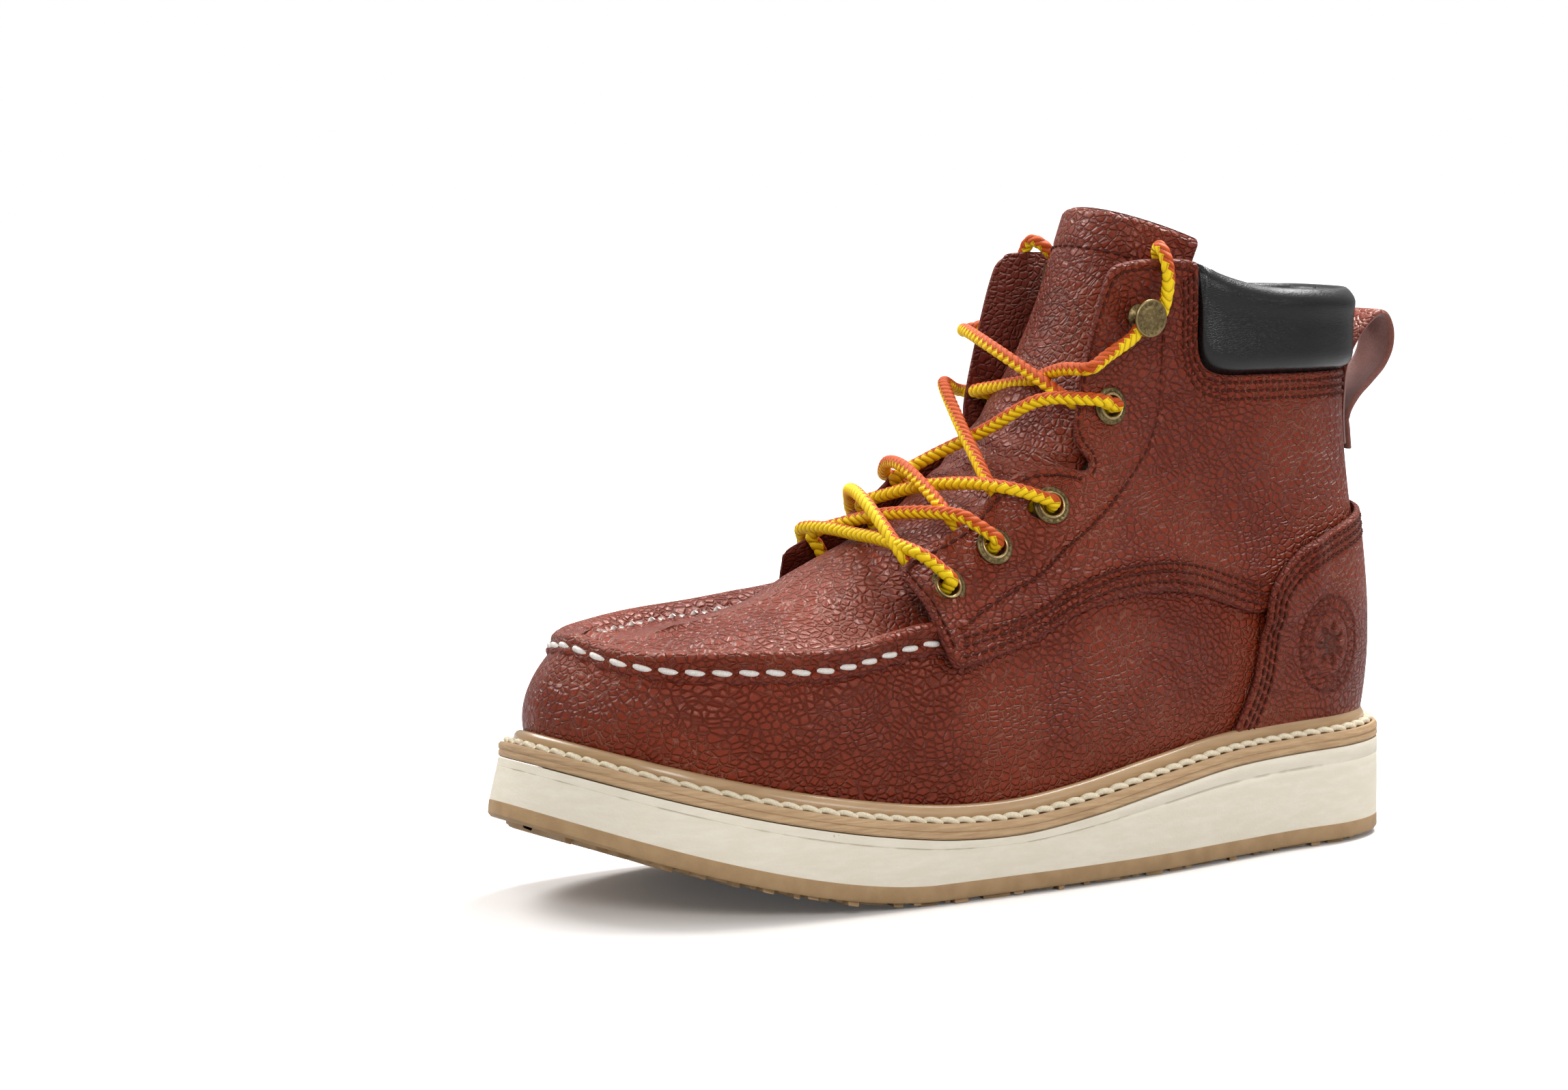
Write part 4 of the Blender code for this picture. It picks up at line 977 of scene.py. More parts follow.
def build_vamp():
    """The vamp: one wall from under the quarters round the toe, up to the apron's seam."""
    size = np.linspace(0.2, 1, 60)
    blend = np.clip((size - 0.57) / 0.08, 0, 1)
    quarter = straight(QUARTER_LOW, size) + 7
    low, top = {}, {}
    for side in (1, -1):
        low[side] = welt_top(edge_point(size, side, FEATHER_INSET)[0][:, 0]) + 1.2
        top[side] = quarter * (1 - blend) + (seam_height(size, side) + 0.8) * blend
    foot, edge = (np.vstack([np.column_stack([size, line[1]]), np.column_stack([2 - size, line[-1]])[-2::-1]])
                  for line in (low, top))

    def fuller(points, _):
        """The cap makes the wall bulge at the toe."""
        u = points[:, 0] / SPAN
        u = np.where(u > 1, 2 - u, u)
        high, foot_height = np.interp(u, size, top[1]), np.interp(u, size, low[1])
        share = np.clip((points[:, 1] - foot_height) / (high - foot_height), 0, 1)
        return 3.0 * np.sin(math.pi * share**0.85) * smooth_step((u - 0.66) / 0.2)

    leather_panel("vamp_wall", flat(np.vstack([foot, edge[::-1]])), 1, 0.3, LEATHER, spacing=1.6,
                  surface=signed_upper, wave=0.2, bulge=fuller, replaced=("vamp",))


def seam_height(u, side):
    """The seam runs higher on the inner side, which rises towards the instep."""
    at_toe = smooth_step((u - 0.90) / 0.10)
    if side > 0:
        return keyed(SEAM, u) + at_toe * 0.6
    return keyed(SEAM, u) + (0.6 + 4.2 * (1 - at_toe) * smooth_step((1.0 - u) / 0.30))


def apron_frame(u, side):
    """At one place on the apron's seam: the foot, the way out, the way in and how far, and the height."""
    z = float(seam_height(u, side))
    here = upper(u, z, side)
    outward = upper(u, z, side, 1.0) - here
    centre_x = 182 + (258 - 182) * (u - APRON_REAR) / (1 - APRON_REAR)
    centre = np.array((centre_x, float(keyed(MIDDLE_LINE, centre_x))))
    run = centre - here[:2]
    length = float(np.linalg.norm(run))
    return here, outward, run / length, length, z


def apron_line(u, side, phase):
    """Profile of the apron at one place, from the lip's foot over the roll to the middle line."""
    here, outward, run, length, z = apron_frame(u, side)
    pucker = math.cos(phase)
    flare = 0.45 * pucker
    rows = [(2.5, -3.0 - 0.25 * pucker), (3.6 + flare, -3.3 - 0.35 * pucker), (4.25 + flare, -2.6),
            (4.2 + flare, -1.6), (3.6 + 0.3 * pucker, -0.7), (2.95, 0.1), (3.3, 1.0), (4.25, 2.0), (5.0, 3.3),
            (5.05, 4.5), (4.45, 5.6), (3.3, 6.4), (1.9, 6.75)]
    at_toe = float(smooth_step((u - 0.80) / 0.16))
    back = (0, 0, 0, 0, 0, 0, 0.3, 1.3, 2.5, 3.6, 4.4, 5.0, 5.4)
    rows = [(o - at_toe * b, h - at_toe * b * 0.10) for (o, h), b in zip(rows, back)]
    line = [here + outward * o + np.array((0, 0, h)) for o, h in rows]
    base = np.array((*here[:2], 0.0))
    inward = np.array((*run, 0.0))
    for a, h in ((0.3, 6.6), (1.7, 5.9), (2.9, 4.9), (3.8, 4.15 + 0.1 * pucker), (4.6, 3.95)):
        line.append(base + inward * (a + 5.4 * at_toe) + (0, 0, z + h - 0.54 * at_toe))
    edge_height = z + 4.0
    first = 4.6 + 5.4 * at_toe
    at_foot = float(apron_height(*(base + inward * (first + 0.4))[:2]))
    for part in np.linspace(0, 1, 30)[1:]:
        spot = base + inward * (first + (length - first) * part)
        hollow = 2.2 * math.sin(math.pi * part**0.6) * float(smooth_step((spot[0] - 208) / 15))
        height = float(apron_height(spot[0], spot[1])) - hollow
        settle = (edge_height - at_foot) * (1 - smooth_step(part * length / 26.0))
        line.append(np.array((spot[0], spot[1], height + settle)))
    return np.array(line)


def build_apron():
    """The moc-toe apron: puckered lip, groove, rounded roll and crowned field."""
    size = np.linspace(APRON_REAR, 1, 210)
    spots = [(u, 1) for u in size] + [(u, -1) for u in size[-2::-1]]
    run = arc_length([apron_frame(u, side)[0] for u, side in spots])
    outer = np.array([apron_line(*spot, 2 * math.pi * r / STITCH_PITCH) for spot, r in zip(spots, run)])
    rows, columns = outer.shape[:2]
    bumps = ripple(outer.reshape(-1, 3), 9, 11).reshape(rows, columns) * 0.22
    bumps[:, :2] = 0
    outer[..., 2] += bumps
    inner = outer.copy()
    inner[:, 2:13] -= np.array([apron_frame(*spot)[1] for spot in spots])[:, None] * 1.7
    inner[:, 11:, 2] -= 1.9
    inner[:, 9:11, 2] -= 1.2
    rim = np.zeros((2, rows, columns))
    rim[0, :, :2] = 1.0
    rim[0, :, 2] = 0.5
    rim[1] = 0.6
    make("apron_top", np.vstack([outer.reshape(-1, 3), inner.reshape(-1, 3)]), sheet_faces(rows, columns),
         "leather", rim=rim.ravel(), replaced=("apron",))
    heap = Heap()
    swing = np.linspace(-1, 1, 9)
    lip_row, roll_row = 5, 16
    for row, lift, radius in ((lip_row, 0.5, 0.92), (roll_row, 1.35, 1.2)):
        line = outer[:, row]
        normal = unit(np.cross(np.gradient(line, axis=0), outer[:, row + 1] - outer[:, row - 1]))
        away = line - outer[:, -1]
        normal *= np.sign(np.sum(normal * (away + (0, 0, 30)), axis=1))[:, None]
        length = arc_length(line)
        toe = length[len(line) // 2]
        count = int(length[-1] / STITCH_PITCH)
        for middle in (np.arange(count) + 0.5) * length[-1] / count:
            if row == roll_row and -22 < middle - toe < 5:
                continue
            at = middle + swing * 2.6
            spot, up = read_along(at, length, line), read_along(at, length, normal)
            height = lift * (1 - 1.3 * swing**4) - 0.1
            slant = np.array((0, 0, 1)) * (swing * 0.35)[:, None]
            heap.add(*rod(spot + up * height[:, None] + slant, up, radius * (1 - 0.35 * swing**4), 8))
    heap.make("apron_stitches", "white")


# ---------------------------------------------------------------- quarters, counter and heel
# Outline of the quarter as (u, z): foot from back to front, front edge, top, throat, and collar.
FOOT_LINE = [(0.0, 96), (0.08, 95), (0.15, 89), (0.205, 78), (0.245, 74.5), (0.288, 78), (0.323, 81.5),
             (0.36, 83.5), (0.398, 83.8), (0.432, 83), (0.465, 80.7), (0.505, 77.3), (0.56, 72.3),
             (0.613, 67.6), (0.626, 66.6)]
FRONT_LINE = [(0.6345, 66.6), (0.6395, 68.4), (0.647, 72.5), (0.657, 78.5), (0.667, 84.5), (0.683, 91),
              (0.690, 93.6)]
FACING_LOW = [(0.690, 95.6), (0.683, 97.2), (0.66, 100.8), (0.636, 104.8), (0.620, 110.8), (0.607, 117),
              (0.596, 120.6), (0.583, 122.1), (0.56, 122.4), (0.52, 122.3), (0.49, 121.9), (0.473, 121.2)]
NOTCH = [(0.4655, 121.4), (0.4625, 122.8), (0.4645, 124.4)]
FACING_HIGH = [(0.472, 126.2), (0.4835, 129.2), (0.491, 132.6), (0.4945, 137), (0.4925, 145), (0.487, 155),
               (0.481, 164), (0.4745, 172), (0.4675, 178), (0.462, 180.8), (0.453, 182.4)]
COLLAR_TOP = [(0.43, 183.7), (0.40, 184), (0.365, 183.7), (0.347, 182.8)]
PAD_FRONT = [(0.3425, 181.5), (0.3365, 175), (0.331, 168), (0.326, 158), (0.3185, 152.2), (0.306, 149.2),
             (0.283, 147.8)]
PAD_LOW = [(0.24, 147.6), (0.16, 147.4), (0.08, 147.4), (0.0, 147.4)]


def smooth_line(points, count=None):
    """A smooth flat line in millimetres through (u, z) points."""
    return flat(spline(points, count, steps=8))


def quarter_base(points):
    """How far out the quarter's inner face is: over the vamp at its foot, over the roll at its front."""
    u, z = points[:, 0] / SPAN, points[:, 1]
    foot = straight(FOOT_LINE, u)
    over = 2.0 * (1 - smooth_step((z - foot - 9) / 16)) * smooth_step((u - 0.17) / 0.035)
    front = to_segments(points, flat(FRONT_LINE))
    lift = 3.2 * smooth_step(1 - front / 17.0) * smooth_step((96 - z) / 12)
    return QUARTER_LIFT + over + lift


QUARTER_FOOT = smooth_line(FOOT_LINE + FRONT_LINE[:2])
QUARTER_FRONT = smooth_line(FRONT_LINE[1:] + FACING_LOW)
# The inner facing stands a little further back than the outer one.
QUARTER_THROAT = {side: smooth_line([(u - back, z) for u, z in NOTCH + FACING_HIGH] + COLLAR_TOP)
                  for side, back in ((1, 0.0), (-1, INNER_BACK))}
COLLAR_EDGE = smooth_line(PAD_FRONT + PAD_LOW)
EYESTAY = smooth_line([(0.376, 181), (0.3755, 160), (0.3735, 145), (0.378, 134), (0.403, 121), (0.465, 104),
                       (0.53, 95.5), (0.593, 86.5), (0.633, 77)])


def eyelet_hole(u, z, side):
    """A hole that is round on the boot, as a flat ring of points."""
    angle = np.arange(28) * 2 * math.pi / 28
    du = np.linalg.norm(upper(u + 0.005, z, side) - upper(u - 0.005, z, side)) / (0.01 * SPAN)
    dz = np.linalg.norm(upper(u, z + 1, side) - upper(u, z - 1, side)) / 2
    radius = EYELET_BORE + 1.2
    return flat((u, z)) + np.stack([np.cos(angle) * radius / du, np.sin(angle) * radius / dz], 1)


def build_quarters():
    """Both quarters: three rows of stitches along foot and collar, one along front, throat and eyestay."""
    reach = QUARTER_FOOT[:, 0] / SPAN
    foot = QUARTER_FOOT[(reach >= 0.235) & (reach <= 0.632)]
    rows = [offset_line(foot, d)[1:-1] for d in (3.0, 5.9, 8.4)]
    rows += [offset_line(COLLAR_EDGE[::-1], -d)[1:-1] for d in (2.4, 4.9, 7.4)]
    front_row = offset_line(QUARTER_FRONT[4:], 2.6)
    for side, name in ((1, "outer"), (-1, "inner")):
        outline = np.vstack([QUARTER_FOOT, QUARTER_FRONT[2:], QUARTER_THROAT[side], COLLAR_EDGE])
        throat_row = offset_line(QUARTER_THROAT[side], 2.6)
        grooves = [(row, 0.45, 0.9) for row in rows]
        grooves += [(front_row, 0.4, 0.8), (throat_row, 0.4, 0.8), (EYESTAY, 0.5, 0.9)]
        leather_panel("quarter_leather_" + name, outline, side, quarter_base, LEATHER, grooves=grooves,
                      holes=[eyelet_hole(u, z, side) for u, z in FASTENINGS[:-1]], spacing=1.5, wave=0.5,
                      replaced=("quarter_" + name,), turn=1.0)
        heap = Heap()
        for row in rows + [front_row, throat_row, EYESTAY]:
            sewn(heap, row, side, lambda points: quarter_base(points) + LEATHER - 0.3)
        heap.make("quarter_stitches_" + name, "brown")


STRIP_LIFT = 2.6           # the backstay's inner face, outside the quarters' joint at the heel
COUNTER_EDGE = [(0.0, 104.6), (0.052, 104.0), (0.11, 101.0), (0.18, 95.3), (0.208, 90.8), (0.227, 85.6),
                (0.2385, 80), (0.2425, 73), (0.246, 63.5), (0.251, 53.5), (0.260, 46.0), (0.271, 38.5)]


def counter_base(points):
    """How far out the counter's inner face is: over the quarter's lower edge."""
    u, z = np.abs(points[:, 0]) / SPAN, points[:, 1]
    edge = straight(QUARTER_LOW, u)
    over = (1 - smooth_step((z - edge - 9) / 18)) * smooth_step((z - edge + 9) / 6)
    return 3.1 + 1.8 * over * smooth_step((u - 0.15) / 0.03)


def signed_mirror(line):
    """A flat line from the other side of the heel."""
    return line[::-1] * (-1, 1)


def emblem_relief(centre, radius):
    """A plain debossed badge: two rings with ticks between them and a seven-leaved rosette."""
    def relief(points, _):
        away = points - flat([centre])[0]
        r = np.linalg.norm(away, axis=1)
        angle = np.arctan2(away[:, 1], away[:, 0])
        ring = np.exp(-((r - radius) / 0.6) ** 2) + 0.9 * np.exp(-((r - radius * 0.70) / 0.55) ** 2)
        leaf = smooth_step((radius * (0.40 + 0.12 * np.cos(7 * angle)) - r) / 1.2)
        ticks = (np.cos(22 * angle) > 0.1) * np.exp(-((r - radius * 0.85) / 1.1) ** 4) * 0.6
        return -0.45 * np.maximum(np.maximum(ring, leaf), ticks)
    return relief


def build_counter():
    """The heel counter round the back with its three rows and badge, and the backstay strip above it."""
    edge = smooth_line(COUNTER_EDGE)
    low_u = np.linspace(COUNTER_EDGE[-1][0], -COUNTER_EDGE[-1][0], 60)
    low = flat([(u, foot_z(u) + 1.6) for u in low_u])
    outline = np.vstack([edge, low, signed_mirror(edge)[:-1]])
    rows = [offset_line(edge, -distance) for distance in (2.6, 5.1, 7.6)]
    rows = [row[row[:, 0] > 0][:-3] for row in rows]
    rows += [signed_mirror(row) for row in rows]
    grooves = [(row, 0.42, 0.9) for row in rows]
    badge = emblem_relief((0.158, 62.8), 14.6)
    leather_panel("counter_leather", outline, 1, counter_base, LEATHER, grooves=grooves, spacing=0.7,
                  surface=signed_upper, wave=0.3, bulge=badge, replaced=("heel_counter_cover",), turn=1.0)
    heap = Heap()
    for row in rows:
        sewn(heap, row, 1, lambda points: counter_base(points) + LEATHER - 0.3, surface=signed_upper)
    strip = [(-0.026, 103), (0.026, 103), (0.026, 147.6), (-0.026, 147.6)]
    leather_panel("backstay_leather", flat(strip), 1, STRIP_LIFT, 1.7, spacing=1.4, surface=signed_upper,
                  grooves=[(flat([(u, 100), (u, 150)]), 0.35, 0.8) for u in (0.018, -0.018)], wave=0.2,
                  replaced=("backstay",))
    for u in (0.018, -0.018):
        sewn(heap, flat([(u, 106), (u, 146)]), 1, STRIP_LIFT + 1.7 - 0.3, surface=signed_upper)
    heap.make("heel_stitches", "brown")


def foot_z(u):
    """Height of the welt's top at a signed u."""
    return float(welt_top(edge_point(abs(u), 1 if u >= 0 else -1, FEATHER_INSET)[0][0]))


def build_pull_loop():
    """A folded strap, smooth outside and suede inside, with both ends stacked on the backstay."""
    under, over = (upper(np.zeros(3), np.array(heights), 1, STRIP_LIFT + 3.4 + more)[:, [0, 2]]
                   for heights, more in (((122.0, 127.0, 133.0), 0.0), ((131.0, 126.0, 120.0), 2.0)))
    free = [(9.9, 139), (9.8, 145), (7.8, 152), (3.2, 158.8), (-2.4, 163.4), (-6.6, 163), (-9, 158.6),
            (-8.8, 152.6), (-6, 147), (-1, 142), (4.2, 137.2)]
    line = spline(np.vstack([under, free, over]), 130)
    across = left_of(line)
    across *= -1 if across[len(across) // 2, 0] > 0 else 1
    half, thick, columns = 9.2, 2.1, 15
    verts = []
    for share, (x, z), (ax, az) in zip(np.linspace(0, 1, len(line)), line, across):
        width = half * (1 - 0.06 * math.sin(share * math.pi) - 0.05 * (share > 0.9))
        for face in (1, -1):
            for y in np.linspace(-1, 1, columns) * face:
                edge = (1 - abs(y)) * width
                drop = 0.9 - math.sqrt(max(0.81 - max(0.9 - edge, 0) ** 2, 0))
                cup = y * y * (-2.4 + 2.6 * smooth_step(share / 0.45) + 1.6 * smooth_step((share - 0.6) / 0.4))
                level = face * (thick / 2 - drop) - cup
                verts.append((x + ax * level, y * width, z + az * level))
    verts, faces = loft(np.array(verts).reshape(len(line), 2 * columns, 3))
    slots = [0 if max(i % (2 * columns) for i in face) < columns else 1 for face in faces]
    rim = np.tile((np.abs(np.linspace(-1, 1, columns)) > 0.97).astype(float), 2 * len(line))
    make("heel_loop", verts, faces, ["leather", "suede"], rim=rim, slots=slots, replaced=("pull_loop",))


# ---------------------------------------------------------------- collar, lining and tongue
def build_collar():
    """Padded satin collar: a fat roll from the seam over the top edge and down inside."""
    size = np.concatenate([np.linspace(0, 0.27, 60), np.linspace(0.276, 0.341, 26)])
    signed = np.concatenate([-size[:0:-1], size])
    size = np.abs(signed)
    low = straight(COLLAR_EDGE[np.argsort(COLLAR_EDGE[:, 0])], size * SPAN)
    top = keyed(TOP_EDGE, size, 3) - 1.0
    tall = top - low
    fat = 1.9 * np.minimum(1.0, tall / 18.0) * (1 - 0.35 * smooth_step((size - 0.30) / 0.04))
    fat *= 0.1 + 0.9 * smooth_step((size + 0.02) / 0.12)
    profiles = []
    for height, full in zip(tall, fat):
        base = 0.9 + 0.8 * full
        outside = [(-1.2, 0.6), (0.4, 1.2), (2.0, base - 0.2 + full * 0.9)]
        outside += [(height * share, base + less + full * swell)
                    for share, less, swell in ((0.2, 0, 1.3), (0.42, 0, 1.15), (0.65, -0.2, 0.9),
                                               (0.86, -0.3, 0.75))]
        over = [(height + more, out)
                for more, out in ((-1.4, base - 0.8 + full * 0.5), (0.3, 0.2), (0.5, -1.3), (-1.0, -3.0),
                                  (-5.0, -3.9), (-12.0, -3.9), (-16.5, -3.0), (-17.5, -1.0))]
        profiles.append(spline(outside + over, 44, steps=8))
    profiles = np.array(profiles)
    columns = np.broadcast_to(signed[:, None], profiles.shape[:2])
    rows = upper_signed(columns, low[:, None] + profiles[..., 0], profiles[..., 1])
    away = unit(rows[..., :2] - np.array((60, 0)))
    rows[..., :2] += away * (ripple(rows.reshape(-1, 3), 12, 21).reshape(columns.shape) * 0.25)[..., None]
    verts, faces = loft(rows)
    piece = make("collar_padding", verts, faces, "satin", replaced=("collar_pad",))
    heap = Heap()
    reach = np.linspace(0.01, 0.335, 50)
    for side in (1, -1):
        line = flat(np.stack([reach, keyed(TOP_EDGE, reach, 3) - 17.0], 1))
        sewn(heap, line, side, -4.0, pitch=3.6, sink=-0.4)
    heap.make("collar_seam", "cloth")


def build_lining():
    """The leather lining: one sheet round the heel from a little short of the toe on either side."""
    signed = np.linspace(-0.785, 0.785, 200)
    top = straight(LINING_TOP, np.abs(signed))
    low = np.array([foot_z(s) for s in signed]) + 3.0
    z = low[:, None] + (top - low)[:, None] * np.linspace(0, 1, 26)
    columns = np.broadcast_to(signed[:, None], z.shape)
    outer, inner = upper_signed(columns, z, -0.8), upper_signed(columns, z[:, ::-1], -0.8 - LINING)
    verts, faces = loft(np.concatenate([outer, inner], axis=1))
    make("shaft_lining", verts, faces, "lining", sharp=50, replaced=("lining",))


# The tongue's half width, how far its sides fall back, and how far its middle swells, by s.
VISIBLE_HALF = [(0.0, 20), (0.12, 24), (0.3, 27.5), (0.5, 29.5), (0.7, 28.2), (0.85, 27), (1.0, 27.5)]
VISIBLE_DROP = [(0.0, 5), (0.12, 7), (0.3, 10), (0.45, 13.5), (0.57, 18.5), (0.7, 25), (0.85, 28), (1.0, 29)]
VISIBLE_SWELL = [(0.0, 0), (0.2, 1.5), (0.35, 5.5), (0.5, 7.5), (0.62, 5.0), (0.75, 1.5), (0.85, 0), (1.0, 0)]


def tongue_spot(s, angle, depth):
    """Points of the visible tongue, which is wider than the plain solid and has folds at the ankle."""
    s, angle, depth = np.broadcast_arrays(np.asarray(s, float), angle, depth)
    x, z = keyed(TONGUE_LINE, s, 1), keyed(TONGUE_LINE, s, 2)
    a, b = np.maximum(s - 0.012, 0), np.minimum(s + 0.012, 1)
    run = keyed(TONGUE_LINE, b, 1) - keyed(TONGUE_LINE, a, 1)
    rise = keyed(TONGUE_LINE, b, 2) - keyed(TONGUE_LINE, a, 2)
    length = np.hypot(run, rise)
    fall = (keyed(VISIBLE_DROP, s) - depth) * (1 - np.cos(angle)) + depth - keyed(VISIBLE_SWELL, s)
    y = (keyed(VISIBLE_HALF, s) - depth) * np.sin(angle) + keyed(MIDDLE_LINE, x)
    return np.stack([x - rise / length * fall, y, z + run / length * fall], -1)


def build_tongue():
    """The tongue: a folded sheet with a turned top, a seam below it, a faint ring and creases at the ankle."""
    seam_at = 0.915
    stations = np.concatenate([np.linspace(0.02, 0.975, 120), [0.982, 0.988, 0.993]])[:, None]
    angles = np.radians(np.linspace(-88, 88, 75))[None]
    near_top = np.maximum(0.0, 1 - (0.993 - stations) / 0.011)
    side_edge = np.maximum(0.0, 1 - (math.radians(88) - np.abs(angles)) / math.radians(3.5))
    seam = 0.5 * np.exp(-((stations - seam_at) / 0.006) ** 2)
    fold = 0.9 * np.exp(-((stations - 0.47) / 0.15) ** 2) * np.sin(
        stations * 95 + 2.2 * np.cos(angles * 1.5) + 1.3 * np.sin(angles * 2.3))
    outer = tongue_spot(stations, angles, 1.5 * near_top**2 + seam + 1.2 * side_edge**2 + 0.5 - 0.5 * fold)
    inner = tongue_spot(stations, angles, TONGUE_THICK - 0.8 * near_top)
    rows, columns = outer.shape[:2]
    outer += (ripple(outer.reshape(-1, 3), 10, 31) * 0.35).reshape(rows, columns, 1) * (0.7, 0, 0.7)
    rim = np.zeros((2, rows, columns))
    rim[0, -1], rim[1] = 0.8, 0.4
    from_badge = np.hypot(outer[..., 1] - 1.5, (outer[..., 2] - 163) / 0.88)
    mark = np.zeros((2, rows, columns))
    mark[0] = 0.9 * (np.exp(-((from_badge - 11.5) / 0.9) ** 2) + np.exp(-((from_badge - 8.0) / 0.8) ** 2)
                     + 0.6 * smooth_step((5.0 - from_badge) / 1.5))
    make("tongue_leather", np.vstack([outer.reshape(-1, 3), inner.reshape(-1, 3)]), sheet_faces(rows, columns),
         "leather", body="tongue", rim=rim.ravel(), tint=mark.ravel(), replaced=("tongue",))
    heap = Heap()
    across = np.radians(np.linspace(-80, 80, 200))
    line = tongue_spot(seam_at, across, 0.65)
    up = line - tongue_spot(seam_at, across, 3.0)
    length = arc_length(line)
    lift = np.array([-0.5, 0.12, 0.3, 0.3, 0.12, -0.5])[:, None]
    radii = [0.3, 0.38, 0.4, 0.4, 0.38, 0.3]
    for start in np.arange(1.5, length[-1] - 3, 3.3):
        at = start + np.linspace(0, 2.6, 6)
        normal = unit(read_along(at, length, up))
        heap.add(*rod(read_along(at, length, line) + normal * lift, normal, radii, 6))
    heap.make("tongue_stitches", "brown", body="tongue")


# ---------------------------------------------------------------- eyelets, hooks and laces
def arms(frame, count):
    """Directions all round a fastening's axis."""
    _, normal, tangent = frame
    angle = np.arange(count) * 2 * math.pi / count
    return np.cos(angle)[:, None] * tangent + np.sin(angle)[:, None] * np.cross(normal, tangent)


def turned(frame, profile, count):
    """A turned ring about a fastening's axis; profile is (radius, height) pairs in order."""
    return loft([[frame[0] + arm * radius + frame[1] * height for radius, height in profile]
                 for arm in arms(frame, count)], closed=True)


def lathed(frame, profile, count):
    """A solid turned about a fastening's axis through (radius, height) pairs, bottom to top."""
    return loft([frame[0] + arms(frame, count) * radius + frame[1] * height for radius, height in profile])


def add_studs(heap, frame, radius, count, size, height, tint, start=0.0):
    """A circle of small domes on a fastening's face."""
    centre, normal, tangent = frame
    dome = [(size, height - 0.2), (size * 0.85, height + 0.12), (size * 0.45, height + 0.24),
            (0.02, height + 0.27)]
    for k in range(count):
        angle = start + k * 2 * math.pi / count
        arm = tangent * math.cos(angle) + np.cross(normal, tangent) * math.sin(angle)
        heap.add(*lathed((centre + arm * radius, normal, tangent), dome, 8), tint=tint)


def build_metal():
    """Eyelets and hooks: profiles of (radius, height, bright), with small domes round their faces."""
    eyelet = [(3.1, -2.6, 0), (4.0, -2.6, 0), (4.05, -0.4, 0), (5.55, -0.1, 0), (5.75, 0.15, 0.3),
              (5.7, 0.5, 0.3), (5.35, 0.8, 0.1), (4.9, 0.85, 0), (4.45, 0.85, 0), (4.3, 1.0, 0.1),
              (4.1, 1.35, 0.8), (3.75, 1.5, 1), (3.4, 1.35, 0.9), (3.15, 0.9, 0.3)]
    hook = [(3.6, -0.4, 0), (3.9, 0.3, 0), (3.6, 0.8, 0), (1.7, 1.2, 0), (1.5, 2.0, 0), (1.5, 6.1, 0),
            (5.1, 6.2, 0), (5.65, 6.45, 0.3), (5.8, 6.8, 0.7), (5.7, 7.15, 0.7), (5.4, 7.35, 0.6),
            (5.1, 7.3, 0.2), (4.8, 7.15, 0), (3.6, 7.3, 0.1), (2.4, 7.45, 0.2), (1.2, 7.5, 0.2),
            (0.02, 7.52, 0.2)]
    for side, name in ((1, "outer"), (-1, "inner")):
        for number, (u, z) in enumerate(FASTENINGS[:-1], 1):
            centre, normal, tangent = fastening_frame(u, z, side)
            lift = float(quarter_base(flat([(u, z)]))[0]) - QUARTER_LIFT
            here = (centre + normal * max(lift - 0.7, 0), normal, tangent)
            heap = Heap()
            bright = np.tile([row[2] for row in eyelet], 56)
            heap.add(*turned(here, [row[:2] for row in eyelet], 56), tint=bright)
            add_studs(heap, here, 4.85, 16, 0.30, 0.82, 0.35)
            label = "%s_%d" % (name, number)
            heap.make("eyelet_ring_" + label, "brass", replaced=("eyelet_" + label,))
        here = fastening_frame(*FASTENINGS[-1], side)
        heap = Heap()
        heap.add(*lathed(here, [row[:2] for row in hook], 48), tint=np.repeat([row[2] for row in hook], 48))
        add_studs(heap, here, 3.9, 12, 0.34, 7.22, 0.5)
        add_studs(heap, here, 2.1, 6, 0.36, 7.42, 0.5, 0.3)
        heap.make("hook_button_" + name, "brass", replaced=("hook_" + name,))


def lace_route():
    """The whole lace: from one tip on the footbed, up, through all the eyelets, and down to the other tip."""
    frames = {side: lacing_frames(side) for side in (1, -1)}
    middle = sum(over_edge(frames[side][0])[-1] for side in (1, -1)) / 2 + front_way(frames[1], 0) * 2.0
    halves = []
    for side in (1, -1):
        line = [np.array(p, float) for p in tail_line(side)] + hook_line(frames[side][4], side)
        here = side
        for number in (3, 2, 1, 0):
            into = under_edge(frames[-here][number])
            way = front_way(frames[-here], number)
            clear = {(3, 1): 2.2, (2, 1): 3.4, (2, -1): 3.4}.get((number, here), 0.0)
            under, over = (0.0, 12.0) if number == 3 else (3.6, 10.2)
            line += crossing(line[-1], into[0], way, under if here == 1 else over, clear) + into
            line += over_edge(frames[-here][number])
            here = -here
        line.append(line[-1] + (middle - line[-1]) * 0.5 + front_way(frames[1], 0) * 1.0)
        halves.append(line)
    return np.array(halves[0] + [middle] + halves[1][::-1])


